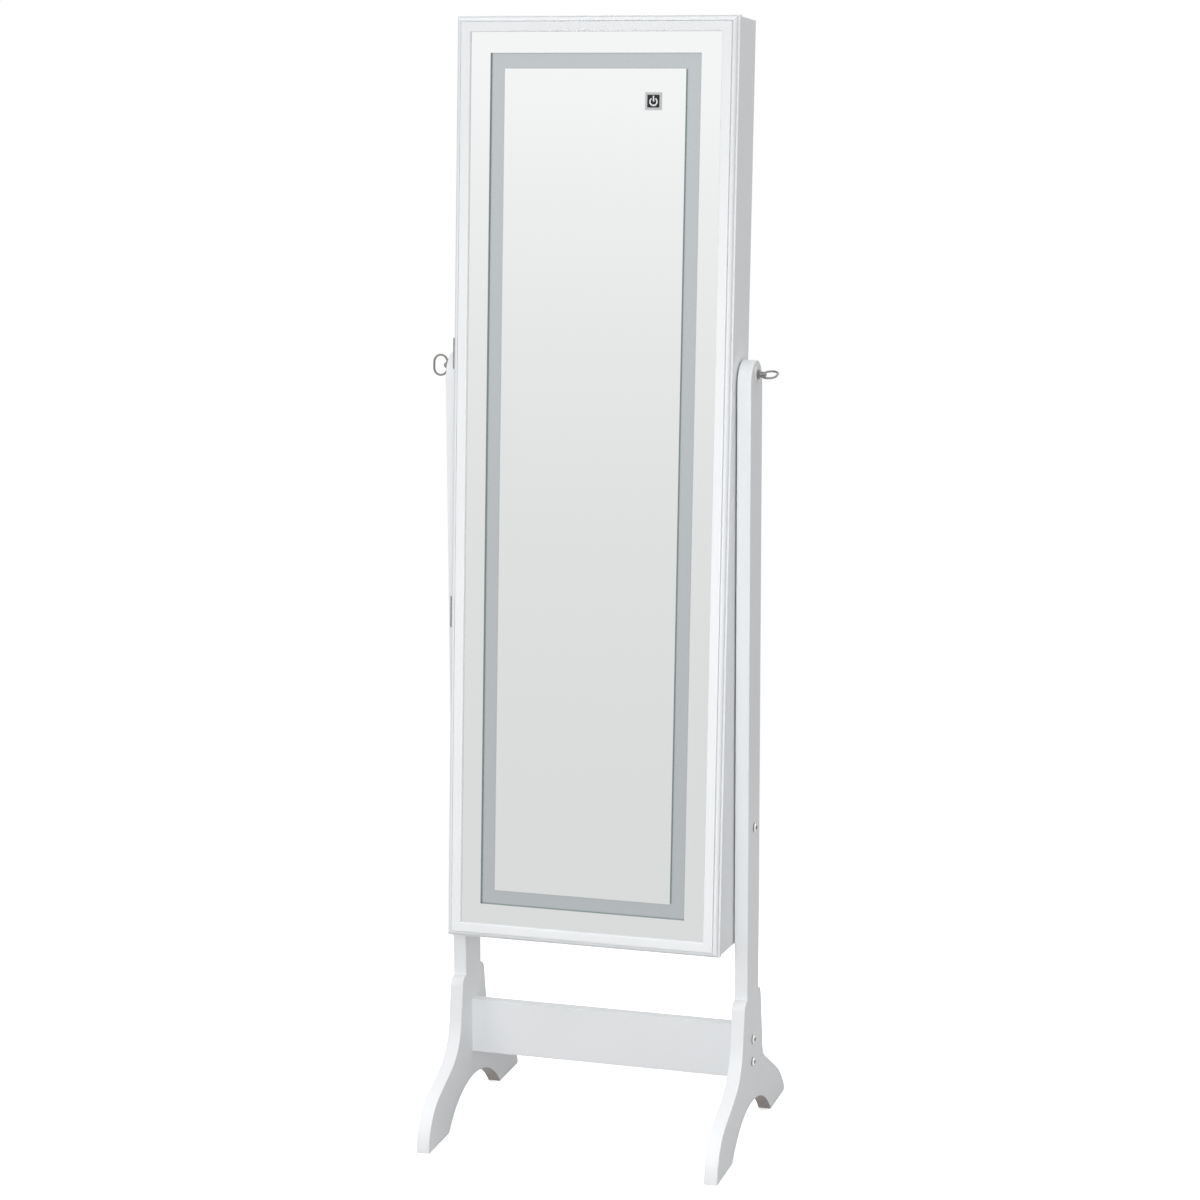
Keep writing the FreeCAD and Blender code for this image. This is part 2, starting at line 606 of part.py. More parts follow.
def make_ring_rolls():
    """Padded rolls that fill the tray, full in the middle and drawn in at both ends."""
    low = TRAY_MARGIN + TRAY_RIM + ROLL_GAP
    high = TRAY_MARGIN + TRAY_WIDTH - TRAY_RIM - ROLL_GAP
    room = TRAY_HEIGHT - 2 * TRAY_RIM
    count = int(room // ROLL_PITCH)
    pitch = room / count
    draw = ROLL_HEIGHT
    stations = [(low, ROLL_END_SHARE), (low + draw, 1), (high - draw, 1), (high, ROLL_END_SHARE)]
    rolls = []
    for step in range(count):
        middle = FLOORS[-1] + TRAY_RIM + pitch * (step + 1 / 2)
        sections = [roll_section(x, middle, pitch - ROLL_GAP, share) for x, share in stations]
        rolls.append(Part.makeLoft(sections, True, True))
    return group(rolls)


def earring_panel_box():
    x = (-TRAY_MARGIN - TRAY_WIDTH, -TRAY_MARGIN)
    back = LINING_FRONT - EARRING_STANDOFF
    return x, (back - EARRING_PANEL_THICKNESS, back), (FLOORS[-1], FLOORS[-1] + TRAY_HEIGHT)


def make_earring_panel():
    """A thin panel with a grid of small holes."""
    x, y, z = earring_panel_box()
    columns = int((TRAY_WIDTH - 2 * TRAY_MARGIN) // EARRING_COLUMN_PITCH)
    rows = int((TRAY_HEIGHT - 2 * TRAY_MARGIN) // EARRING_ROW_PITCH)
    middle_x = (x[0] + x[1]) / 2
    middle_z = (z[0] + z[1]) / 2
    holes = []
    for column in range(columns):
        for row in range(rows):
            place = (middle_x + (column - (columns - 1) / 2) * EARRING_COLUMN_PITCH, y[0],
                     middle_z + (row - (rows - 1) / 2) * EARRING_ROW_PITCH)
            holes.append(rod(EARRING_HOLE_RADIUS, place, Y_AXIS, EARRING_PANEL_THICKNESS))
    return block(x, y, z).cut(holes)


def make_earring_spacers():
    """Stubs that hold the earring panel off the lining."""
    x, y, z = earring_panel_box()
    stubs = []
    for place_x in (x[0] + EARRING_SPACER_INSET, x[1] - EARRING_SPACER_INSET):
        for place_z in (z[0] + EARRING_SPACER_INSET, z[1] - EARRING_SPACER_INSET):
            stubs.append(rod(EARRING_SPACER_RADIUS, (place_x, y[1], place_z), Y_AXIS, EARRING_STANDOFF))
    return group(stubs)


# Necklace pegs under the top shelf, and the bracelet rod
PEG_BAY_TOP = FLOORS[-1] - SHELF_THICKNESS
PEG_FACE = LINING_FRONT - PEG_RAIL_THICKNESS
PEG_HEIGHT = PEG_BAY_TOP - PEG_RAIL_HEIGHT / 2
PEG_COUNT = int((2 * HALF_INSIDE - PEG_PITCH) // PEG_PITCH)


def peg_places():
    return [(step - (PEG_COUNT - 1) / 2) * PEG_PITCH for step in range(PEG_COUNT)]


def peg(x, radius):
    """A peg that rises from its seat in the rail and ends in a round nose."""
    rise = math.radians(PEG_RISE)
    way = FreeCAD.Vector(0, -math.cos(rise), math.sin(rise))
    seat = FreeCAD.Vector(x, PEG_FACE, PEG_HEIGHT) - way * PEG_SEAT
    length = PEG_LENGTH + PEG_SEAT
    nose = Part.makeSphere(radius, seat + way * length)
    return Part.makeCylinder(radius, length, seat, way).fuse(nose).removeSplitter()


def make_peg_rail():
    half = HALF_INSIDE - FIT
    rail = block((-half, half), (PEG_FACE, LINING_FRONT), (PEG_BAY_TOP - PEG_RAIL_HEIGHT, PEG_BAY_TOP))
    return rail.cut([peg(x, PEG_RADIUS + RUNNING) for x in peg_places()])


def make_necklace_pegs():
    return group([peg(x, PEG_RADIUS) for x in peg_places()])


def make_bracelet_rod():
    half = HALF_INSIDE - SOCKET_FLOOR
    return rod(ROD_RADIUS, (-half, ROD_Y, ROD_HEIGHT), X_AXIS, 2 * half)


def make_rod_sockets():
    """Cups on the case sides that take the ends of the bracelet rod."""
    start = HALF_INSIDE - SOCKET_LENGTH
    cup = rod(SOCKET_RADIUS, (start, ROD_Y, ROD_HEIGHT), X_AXIS, SOCKET_LENGTH)
    right = cup.cut(rod(ROD_RADIUS + FIT, (start, ROD_Y, ROD_HEIGHT), X_AXIS, SOCKET_LENGTH - SOCKET_FLOOR))
    return group([right, mirrored(right)])


# Hinges on the left edge of the door, with leaves in the gap between door and case
def hinge_leaf(middle, leaf_low, leaf_high, knuckles):
    """A leaf with its knuckles; knuckles are (low, high) heights about the hinge's middle."""
    half = HINGE_HEIGHT / 2
    inner = -HALF_CASE + LEAF_REACH
    clear = HINGE_X + BARREL_RADIUS + KNUCKLE_GAP
    leaf = block((clear, inner), (leaf_low, leaf_high), (middle - half, middle + half))
    pieces = []
    bores = []
    for low, high in knuckles:
        barrel = rod(BARREL_RADIUS, (HINGE_X, HINGE_Y, middle + low), Z_AXIS, high - low)
        tab = block((HINGE_X, clear), (leaf_low, leaf_high), (middle + low, middle + high))
        pieces.extend([barrel, tab])
        radius = HINGE_PIN_RADIUS + RUNNING
        bores.append(rod(radius, (HINGE_X, HINGE_Y, middle + low), Z_AXIS, high - low))
    return leaf.fuse(pieces).cut(bores).removeSplitter()


def knuckle_heights():
    """Heights of the knuckles of a hinge, with a gap between them; the door has every second one."""
    share = HINGE_HEIGHT / KNUCKLES
    lows = [-HINGE_HEIGHT / 2 + step * share for step in range(KNUCKLES)]
    return [(low + KNUCKLE_GAP / 2, low + share - KNUCKLE_GAP / 2) for low in lows]


SCREW_X = (-HALF_CASE + LEAF_REACH - HALF_DOOR) / 2


def screw_places(spread):
    return [(SCREW_X, height + side * spread) for height in HINGE_HEIGHTS for side in (-1, 1)]


def screw_holes(spread, face, way):
    """Pilot holes through the leaf and into the board behind it."""
    start = face - way.y * LEAF_THICKNESS
    return [rod(SCREW_RADIUS + RUNNING, (x, start, z), way, SCREW_LENGTH + LEAF_THICKNESS)
            for x, z in screw_places(spread)]


def leaf_screws(spread, face, way):
    """Thin-headed screws that hold the leaves."""
    screws = []
    start = face - way.y * LEAF_THICKNESS
    for x, z in screw_places(spread):
        shank = rod(SCREW_RADIUS, (x, start, z), way, SCREW_LENGTH + LEAF_THICKNESS)
        head = rod(SCREW_HEAD_RADIUS, (x, start, z), way * -1, SCREW_HEAD)
        screws.append(shank.fuse(head).removeSplitter())
    return group(screws)


def make_hinge_case_leaves():
    knuckles = knuckle_heights()
    leaves = [hinge_leaf(z, CASE_FRONT - LEAF_THICKNESS, CASE_FRONT, knuckles[::2]) for z in HINGE_HEIGHTS]
    holes = screw_holes(CASE_SCREW_SPREAD, CASE_FRONT, Y_AXIS)
    return group([leaf.cut(holes) for leaf in leaves])


def make_hinge_door_leaves():
    knuckles = knuckle_heights()
    leaves = [hinge_leaf(z, DOOR_BACK, DOOR_BACK + LEAF_THICKNESS, knuckles[1::2]) for z in HINGE_HEIGHTS]
    holes = screw_holes(DOOR_SCREW_SPREAD, DOOR_BACK, Y_AXIS * -1)
    return group([leaf.cut(holes) for leaf in leaves])


def make_hinge_pins():
    """Pins with a thin head at each end."""
    pins = []
    for middle in HINGE_HEIGHTS:
        low = middle - HINGE_HEIGHT / 2
        pin = rod(HINGE_PIN_RADIUS, (HINGE_X, HINGE_Y, low), Z_AXIS, HINGE_HEIGHT)
        heads = [rod(BARREL_RADIUS, (HINGE_X, HINGE_Y, low - HINGE_PIN_HEAD), Z_AXIS, HINGE_PIN_HEAD),
                 rod(BARREL_RADIUS, (HINGE_X, HINGE_Y, low + HINGE_HEIGHT), Z_AXIS, HINGE_PIN_HEAD)]
        pins.append(pin.fuse(heads).removeSplitter())
    return group(pins)


# Magnetic catch on the right-hand side
def make_magnet_catch():
    front = DOOR_BACK + STRIKE_THICKNESS + FREE
    half = CATCH_LENGTH / 2
    return block((HALF_INSIDE - CATCH_WIDTH, HALF_INSIDE), (front, front + CATCH_DEPTH),
                 (-CATCH_DROP - half, -CATCH_DROP + half))


def make_strike_plate():
    middle = HALF_INSIDE - CATCH_WIDTH / 2
    half_width = STRIKE_WIDTH / 2
    half = STRIKE_LENGTH / 2
    return block((middle - half_width, middle + half_width), (DOOR_BACK, DOOR_BACK + STRIKE_THICKNESS),
                 (-CATCH_DROP - half, -CATCH_DROP + half))


# Door frame: one moulded section, mitred at the corners
def frame_section(across):
    """The moulding's section, as (distance in from the door's edge, depth behind its front)."""
    quirk = FLAT_STEP + QUIRK_DEPTH
    bead_low = FLAT_STEP + BEAD_RADIUS
    ledge = bead_low + BEAD_DROP
    bead_start = FLAT_INSET - QUIRK_WIDTH
    bead_end = bead_start - BEAD_RADIUS
    rebate = FRAME_WIDTH - FRAME_LIP
    edges = [
        line((0, DOOR_THICKNESS), (0, ledge + EDGE_RADIUS), across),
        quarter_arc((0, ledge + EDGE_RADIUS), (EDGE_RADIUS, ledge),
                    (EDGE_RADIUS, ledge + EDGE_RADIUS), across),
        line((EDGE_RADIUS, ledge), (bead_end, ledge), across),
        line((bead_end, ledge), (bead_end, bead_low), across),
        quarter_arc((bead_end, bead_low), (bead_start, FLAT_STEP), (bead_start, bead_low), across),
        line((bead_start, FLAT_STEP), (bead_start, quirk), across),
        line((bead_start, quirk), (FLAT_INSET, quirk), across),
        line((FLAT_INSET, quirk), (FLAT_INSET, LIP_RADIUS), across),
        quarter_arc((FLAT_INSET, LIP_RADIUS), (FLAT_INSET + LIP_RADIUS, 0),
                    (FLAT_INSET + LIP_RADIUS, LIP_RADIUS), across),
        line((FLAT_INSET + LIP_RADIUS, 0), (FRAME_WIDTH - INNER_RADIUS, 0), across),
        quarter_arc((FRAME_WIDTH - INNER_RADIUS, 0), (FRAME_WIDTH, INNER_RADIUS),
                    (FRAME_WIDTH - INNER_RADIUS, INNER_RADIUS), across),
        line((FRAME_WIDTH, INNER_RADIUS), (FRAME_WIDTH, GLASS_RECESS), across),
        line((FRAME_WIDTH, GLASS_RECESS), (rebate, GLASS_RECESS), across),
        line((rebate, GLASS_RECESS), (rebate, DOOR_THICKNESS), across),
        line((rebate, DOOR_THICKNESS), (0, DOOR_THICKNESS), across),
    ]
    return Part.Face(Part.Wire(edges))


def mitred(bar, corners):
    """The part of a bar inside a four-cornered outline seen from the front."""
    points = [FreeCAD.Vector(x, DOOR_FRONT - FIT, z) for x, z in corners + corners[:1]]
    outline = Part.Face(Part.makePolygon(points))
    return bar.common(outline.extrude(FreeCAD.Vector(0, DOOR_THICKNESS + 2 * FIT, 0)))


def make_frame_stile(side):
    """The left (-1) or right (1) upright of the door frame."""
    def across(point):
        return FreeCAD.Vector(side * (HALF_DOOR - point[0]), DOOR_FRONT + point[1], -DOOR_BELOW_PIVOT)

    height = DOOR_ABOVE_PIVOT + DOOR_BELOW_PIVOT
    bar = frame_section(across).extrude(FreeCAD.Vector(0, 0, height))
    inner = HALF_DOOR - FRAME_WIDTH
    stile = mitred(bar, [(side * HALF_DOOR, -DOOR_BELOW_PIVOT), (side * HALF_DOOR, DOOR_ABOVE_PIVOT),
                         (side * inner, DOOR_ABOVE_PIVOT - FRAME_WIDTH),
                         (side * inner, FRAME_WIDTH - DOOR_BELOW_PIVOT)])
    if side < 0:
        stile = stile.cut(screw_holes(DOOR_SCREW_SPREAD, DOOR_BACK, Y_AXIS * -1))
    return stile


def make_frame_rail(edge, way):
    """The top (way 1) or bottom (way -1) of the door frame, at the height of the door's edge."""
    def across(point):
        return FreeCAD.Vector(-HALF_DOOR, DOOR_FRONT + point[1], edge - way * point[0])

    bar = frame_section(across).extrude(FreeCAD.Vector(DOOR_WIDTH, 0, 0))
    inner = HALF_DOOR - FRAME_WIDTH
    inside = edge - way * FRAME_WIDTH
    return mitred(bar, [(-HALF_DOOR, edge), (HALF_DOOR, edge), (inner, inside), (-inner, inside)])


# Glass, light band and core of the door
PANE_INSET = FRAME_WIDTH - FRAME_LIP + FIT
MIRROR_INSET = BAND_INSET + BAND_WIDTH


def inset_span(inset):
    """Low and high ends of the door's height, brought in by an inset."""
    return (inset - DOOR_BELOW_PIVOT, DOOR_ABOVE_PIVOT - inset)


def inset_ring(outer, inner, y):
    """A rectangular ring between two insets from the door's edge."""
    return frame_block(HALF_DOOR - outer, HALF_DOOR - inner, y, inset_span(outer), inset_span(inner))


def inset_slab(inset, y):
    half = HALF_DOOR - inset
    return block((-half, half), y, inset_span(inset))


SWITCH_X = HALF_DOOR - MIRROR_INSET - SWITCH_FROM_EDGE
SWITCH_Z = DOOR_ABOVE_PIVOT - MIRROR_INSET - SWITCH_FROM_TOP
LED_MIDDLE = BAND_INSET + BAND_WIDTH / 2
BAND_BACK = GLASS_BACK + BAND_THICKNESS
CHANNEL_FLOOR = BAND_BACK + FIT + LED_CHANNEL_DEPTH


def switch_block(size, y):
    half = size / 2
    return block((SWITCH_X - half, SWITCH_X + half), y, (SWITCH_Z - half, SWITCH_Z + half))


def make_mirror_surround():
    return inset_ring(PANE_INSET, BAND_INSET, (GLASS_FRONT, GLASS_BACK))


def make_mirror_inner():
    pane = inset_slab(MIRROR_INSET, (GLASS_FRONT, GLASS_BACK))
    return pane.cut(switch_block(BEZEL_SIZE + 2 * FIT, (GLASS_FRONT, GLASS_BACK)))


def make_light_band():
    return inset_ring(BAND_INSET - BAND_OVERLAP, MIRROR_INSET + BAND_OVERLAP, (GLASS_BACK, BAND_BACK))


def make_switch_bezel():
    y = (GLASS_FRONT - BEZEL_PROUD, GLASS_BACK)
    return switch_block(BEZEL_SIZE, y).cut(switch_block(BEZEL_SIZE - 2 * BEZEL_RIM, y))


PLATE_FRONT = GLASS_FRONT - BEZEL_PROUD + PLATE_SINK


def make_switch_plate():
    return switch_block(BEZEL_SIZE - 2 * BEZEL_RIM - 2 * FIT, (PLATE_FRONT, GLASS_BACK))


def make_power_symbol():
    """A broken ring with a short bar in its gap, raised on the plate."""
    front = PLATE_FRONT - SYMBOL_THICKNESS
    middle = SWITCH_Z - SYMBOL_DROP
    half = SYMBOL_STROKE / 2

    def disc(x, z, radius):
        return rod(radius, (SWITCH_X + x, front, middle + z), Y_AXIS, SYMBOL_THICKNESS)

    half_gap = math.radians(SYMBOL_GAP_ANGLE / 2)
    reach = 2 * SYMBOL_RADIUS
    spread = reach * math.tan(half_gap)
    gap = [FreeCAD.Vector(SWITCH_X + x, front, middle + z)
           for x, z in ((0, 0), (spread, reach), (-spread, reach), (0, 0))]
    wedge = Part.Face(Part.makePolygon(gap)).extrude(FreeCAD.Vector(0, SYMBOL_THICKNESS, 0))
    ring = disc(0, 0, SYMBOL_RADIUS + half).cut([disc(0, 0, SYMBOL_RADIUS - half), wedge])
    end_x = SYMBOL_RADIUS * math.sin(half_gap)
    end_z = SYMBOL_RADIUS * math.cos(half_gap)
    ring = ring.fuse([disc(-end_x, end_z, half), disc(end_x, end_z, half)]).removeSplitter()
    bar = block((SWITCH_X - half, SWITCH_X + half), (front, PLATE_FRONT),
                (middle + SYMBOL_BAR_LOW, middle + SYMBOL_BAR_HIGH))
    bar = bar.fuse([disc(0, SYMBOL_BAR_LOW, half), disc(0, SYMBOL_BAR_HIGH, half)]).removeSplitter()
    return group([ring, bar])


def make_switch_module():
    return switch_block(MODULE_SIZE, (GLASS_BACK, GLASS_BACK + MODULE_THICKNESS))


def make_core_board():
    """The board behind the glass, routed for the light band, its strip and the switch."""
    core = inset_slab(PANE_INSET, (GLASS_BACK, CORE_BACK))
    half_channel = LED_CHANNEL_WIDTH / 2
    band_seat = inset_ring(BAND_INSET - BAND_OVERLAP - FIT, MIRROR_INSET + BAND_OVERLAP + FIT,
                           (GLASS_BACK, BAND_BACK + FIT))
    channel = inset_ring(LED_MIDDLE - half_channel, LED_MIDDLE + half_channel, (GLASS_BACK, CHANNEL_FLOOR))
    pocket = switch_block(MODULE_SIZE + 2 * FIT, (GLASS_BACK, GLASS_BACK + MODULE_THICKNESS + FIT))
    pilots = [rod(SCREW_RADIUS + FIT, (x, CORE_BACK - BACK_SCREW_BITE, z), Y_AXIS, BACK_SCREW_BITE)
              for x, z in back_screw_places()]
    return core.cut([band_seat, channel, pocket] + pilots + lead_ways(LEAD_RADIUS + FIT))


def make_led_strip():
    """Four flat strips on the floor of the channel, end to end."""
    y = (CHANNEL_FLOOR - LED_STRIP_THICKNESS, CHANNEL_FLOOR)
    half_strip = LED_STRIP_WIDTH / 2
    long_span = inset_span(LED_MIDDLE - half_strip)
    short_half = HALF_DOOR - LED_MIDDLE - half_strip - FIT
    strips = []
    for side in (-1, 1):
        middle = side * (HALF_DOOR - LED_MIDDLE)
        strips.append(block((middle - half_strip, middle + half_strip), y, long_span))
    for height in inset_span(LED_MIDDLE):
        strips.append(block((-short_half, short_half), y, (height - half_strip, height + half_strip)))
    return group(strips)


def make_led_chips():
    """Small light chips along the strips."""
    back = CHANNEL_FLOOR - LED_STRIP_THICKNESS
    low, high = inset_span(LED_MIDDLE)
    half_x = HALF_DOOR - LED_MIDDLE
    places = []
    rows = int((high - low) // LED_PITCH)
    columns = int(2 * half_x // LED_PITCH)
    for step in range(rows):
        z = (low + high) / 2 + (step - (rows - 1) / 2) * LED_PITCH
        places.extend([(-half_x, z), (half_x, z)])
    for step in range(columns):
        x = (step - (columns - 1) / 2) * LED_PITCH
        places.extend([(x, low), (x, high)])
    half = LED_SIZE / 2
    return group([block((x - half, x + half), (back - LED_HEIGHT, back), (z - half, z + half))
                  for x, z in places])


# Battery box behind the switch, its cells, and the leads between them
BOX_HALF_X = (CELL_PITCH * CELL_COUNT + BOX_WALL) / 2 + BOX_WALL
BOX_HALF_Z = CELL_LENGTH / 2 + CELL_END_ROOM + BOX_WALL
BOX_BACK = DOOR_BACK + BOX_WALL + 2 * CELL_RADIUS + FREE


def box_block(inset, y):
    half_x = BOX_HALF_X - inset
    half_z = BOX_HALF_Z - inset
    return block((SWITCH_X - half_x, SWITCH_X + half_x), y, (SWITCH_Z - half_z, SWITCH_Z + half_z))


def lead_ways(radius):
    """Straight runs of the leads: from the battery box to the switch, and on to the light strip."""
    module_back = GLASS_BACK + MODULE_THICKNESS
    depth = BAND_BACK + 2 * FIT + LEAD_RADIUS
    strip_x = HALF_DOOR - LED_MIDDLE + LED_CHANNEL_WIDTH / 2
    side = SWITCH_X + MODULE_SIZE / 2
    return [rod(radius, (SWITCH_X, module_back, SWITCH_Z), Y_AXIS, DOOR_BACK - module_back),
            rod(radius, (side, depth, SWITCH_Z), X_AXIS, strip_x - LED_CHANNEL_WIDTH - side)]


def make_battery_box():
    shell = box_block(0, (DOOR_BACK, BOX_BACK))
    return shell.cut(box_block(BOX_WALL, (DOOR_BACK + BOX_WALL, BOX_BACK)))


def make_battery_lid():
    return box_block(0, (BOX_BACK, BOX_BACK + BOX_LID))


def make_battery_cells():
    """Cells side by side on the floor of the box."""
    y = DOOR_BACK + BOX_WALL + CELL_RADIUS
    cells = []
    for step in range(CELL_COUNT):
        x = SWITCH_X + (step - (CELL_COUNT - 1) / 2) * CELL_PITCH
        cells.append(rod(CELL_RADIUS, (x, y, SWITCH_Z - CELL_LENGTH / 2), Z_AXIS, CELL_LENGTH))
    return group(cells)


def make_door_back():
    """The skin on the inside of the door, bored for the lead and for its screws."""
    skin = inset_slab(PANE_INSET, (CORE_BACK, DOOR_BACK))
    holes = [rod(SCREW_RADIUS + FIT, (x, CORE_BACK, z), Y_AXIS, DOOR_BACK - CORE_BACK)
             for x, z in back_screw_places()]
    return skin.cut(holes + lead_ways(LEAD_RADIUS + FIT))


def back_screw_places():
    low, high = inset_span(BACK_SCREW_INSET)
    x = HALF_DOOR - BACK_SCREW_INSET
    step = (high - low) / (BACK_SCREW_ROWS - 1)
    return [(side * x, low + row * step) for side in (-1, 1) for row in range(BACK_SCREW_ROWS)]


def make_door_back_screws():
    """Flat-headed screws along the edges of the door's back."""
    screws = []
    for x, z in back_screw_places():
        tip = CORE_BACK - BACK_SCREW_BITE
        shank = rod(SCREW_RADIUS, (x, tip, z), Y_AXIS, DOOR_BACK - tip)
        head = rod(SCREW_HEAD_RADIUS, (x, DOOR_BACK, z), Y_AXIS, BACK_SCREW_HEAD)
        screws.append(shank.fuse(head).removeSplitter())
    return group(screws)


def leaned(shape):
    """Leans a piece of the case or door back about the pivot and lifts it to its height."""
    shape = shape.copy()
    shape.rotate(ORIGIN, X_AXIS, -TILT)
    shape.translate(FreeCAD.Vector(0, 0, PIVOT_HEIGHT))
    return shape


RIGHT_UPRIGHT = make_upright()
STAND = {
    "left_upright": mirrored(RIGHT_UPRIGHT),
    "right_upright": RIGHT_UPRIGHT,
    "stretcher": make_stretcher(),
    "stretcher_bolts": make_stretcher_bolts(),
    "barrel_nuts": make_barrel_nuts(),
    "stop_bolts": make_stop_bolts(),
    "stop_bumpers": make_stop_bumpers(),
    "pivot_washers": make_pivot_washers(),
}

LEANING = {
    "left_ring_screw": mirrored(make_ring_screw(LEFT_RING_TURN)),
    "right_ring_screw": make_ring_screw(RIGHT_RING_TURN),
    "pivot_inserts": make_pivot_inserts(),
    "pivot_spacers": make_pivot_spacers(),
    "case_side_left": make_case_side(-1),
    "case_side_right": make_case_side(1),
    "case_top": make_case_end(INSIDE_TOP, CASE_TOP, INSIDE_TOP, INSIDE_TOP + BACK_REBATE),
    "case_bottom": make_case_end(CASE_BOTTOM, INSIDE_BOTTOM, INSIDE_BOTTOM - BACK_REBATE, INSIDE_BOTTOM),
    "case_back": make_case_back(),
    "back_lining": make_back_lining(),
    "ring_tray": make_ring_tray(),
    "ring_rolls": make_ring_rolls(),
    "earring_panel": make_earring_panel(),
    "earring_spacers": make_earring_spacers(),
    "peg_rail": make_peg_rail(),
    "necklace_pegs": make_necklace_pegs(),
    "bracelet_rod": make_bracelet_rod(),
    "rod_sockets": make_rod_sockets(),
    "hinge_case_leaves": make_hinge_case_leaves(),
    "hinge_pins": make_hinge_pins(),
    "hinge_case_screws": leaf_screws(CASE_SCREW_SPREAD, CASE_FRONT, Y_AXIS),
    "magnet_catch": make_magnet_catch(),
    "frame_left": make_frame_stile(-1),
    "frame_right": make_frame_stile(1),
    "frame_top": make_frame_rail(DOOR_ABOVE_PIVOT, 1),
    "frame_bottom": make_frame_rail(-DOOR_BELOW_PIVOT, -1),
    "mirror_surround": make_mirror_surround(),
    "mirror_inner": make_mirror_inner(),
    "light_band": make_light_band(),
    "core_board": make_core_board(),
    "door_back": make_door_back(),
    "door_back_screws": make_door_back_screws(),
    "led_strip": make_led_strip(),
    "led_chips": make_led_chips(),
    "switch_bezel": make_switch_bezel(),
    "switch_plate": make_switch_plate(),
    "power_symbol": make_power_symbol(),
    "switch_module": make_switch_module(),
    "switch_leads": group(lead_ways(LEAD_RADIUS)),
    "battery_box": make_battery_box(),
    "battery_lid": make_battery_lid(),
    "battery_cells": make_battery_cells(),
    "hinge_door_leaves": make_hinge_door_leaves(),
    "hinge_door_screws": leaf_screws(DOOR_SCREW_SPREAD, DOOR_BACK, Y_AXIS * -1),
    "strike_plate": make_strike_plate(),
}
for number, shelf_top in enumerate(FLOORS[1:], 1):
    LEANING["shelf_%d" % number] = make_shelf(shelf_top)
for number, bay_floor in enumerate(GUARDED_FLOORS, 1):
    LEANING["guard_rail_%d" % number] = make_guard_rail(bay_floor)

os.makedirs("parts", exist_ok=True)
for name, shape in STAND.items():
    shape.exportStep("parts/%s.step" % name)
for name, shape in LEANING.items():
    leaned(shape).exportStep("parts/%s.step" % name)
print("nodes written:", len(STAND) + len(LEANING))
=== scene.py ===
import json
import math

import bmesh
import bpy
import numpy as np
from mathutils import Matrix, Vector


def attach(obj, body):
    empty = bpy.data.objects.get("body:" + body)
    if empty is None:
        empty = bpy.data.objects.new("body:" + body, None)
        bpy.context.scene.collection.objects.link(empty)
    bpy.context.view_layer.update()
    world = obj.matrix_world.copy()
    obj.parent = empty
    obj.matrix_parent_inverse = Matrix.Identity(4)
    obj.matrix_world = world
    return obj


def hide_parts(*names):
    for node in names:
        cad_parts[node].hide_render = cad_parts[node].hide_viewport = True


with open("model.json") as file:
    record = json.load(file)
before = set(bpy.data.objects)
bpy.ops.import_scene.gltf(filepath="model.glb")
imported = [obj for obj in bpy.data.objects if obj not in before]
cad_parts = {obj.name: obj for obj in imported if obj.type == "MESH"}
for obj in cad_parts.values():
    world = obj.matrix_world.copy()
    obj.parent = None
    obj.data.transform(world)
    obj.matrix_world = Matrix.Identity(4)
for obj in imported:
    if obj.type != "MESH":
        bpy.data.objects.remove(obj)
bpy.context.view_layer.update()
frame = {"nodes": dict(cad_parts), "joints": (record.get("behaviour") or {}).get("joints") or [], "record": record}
NODES = frame["nodes"]
JOINTS = {joint["name"]: joint for joint in frame["joints"]}

# The leaning case: its pivot and the angle that its hinge line leans back, read from the joints
MM = 0.001
PIVOT = np.array(JOINTS["tilt"]["pos_m"])
HINGE_LINE = np.array(JOINTS["door_hinge"]["axis"])
LEAN = math.atan2(-HINGE_LINE[1], -HINGE_LINE[2])
CASE_BACKWARD = np.array([0, math.cos(LEAN), -math.sin(LEAN)])
CASE_UP = np.array([0, math.sin(LEAN), math.cos(LEAN)])
RIGHTWARD = np.array([1.0, 0, 0])
UPWARD = np.array([0, 0, 1.0])
CASE_AXES = np.array([RIGHTWARD, CASE_BACKWARD, CASE_UP])

# The photograph's camera, fitted to the edges of the door and the stand
CAMERA_PLACE = (1.1071, -3.6532, 1.4463)
CAMERA_YAW = 16.93
CAMERA_PITCH = 10.86
CAMERA_ROLL = 0.22
CAMERA_LENS_MM = 89.51
SENSOR_MM = 36.0

# Ring rolls: how many, and the form of each, in metres and shares of its size
WELD = 1e-7
ROLL_COUNT = 17
ROLL_GAP = 0.0006
ROLL_ROWS = 72
ROLL_COLUMNS = 25
ROLL_FOOT_COLUMNS = 8
ROLL_FULLNESS = 2.4
ROLL_END_SHARE = 0.72
ROLL_END_ROUND = 0.002
ROLL_GATHER = 0.08
ROLL_GATHER_REACH = 0.007
ROLL_PLEATS = 14
ROLL_SLACK = 0.03
ROLL_WAVE = 0.047
ROLL_WAVE_SHIFT = 2.4

# The painted shade along the outer left and top edges of the etched band: its width and its darkest level
BAND_PAINTED_SHADE_MM = 5.0
BAND_PAINTED_SHADE_LEVEL = 0.42

# Where most of a noise lies, how closely a face has to look along a direction to count as facing it or as an
# underside, and how far outward the slope of a bolt head looks at the rim and the crown of its painted highlight
NOISE_MIDDLE = (0.3, 0.7)
SQUARE_ON = 0.95
UNDERSIDE = 0.3
BOLT_RIM = (0.66, 0.74)
BOLT_CROWN = (0.96, 0.9)

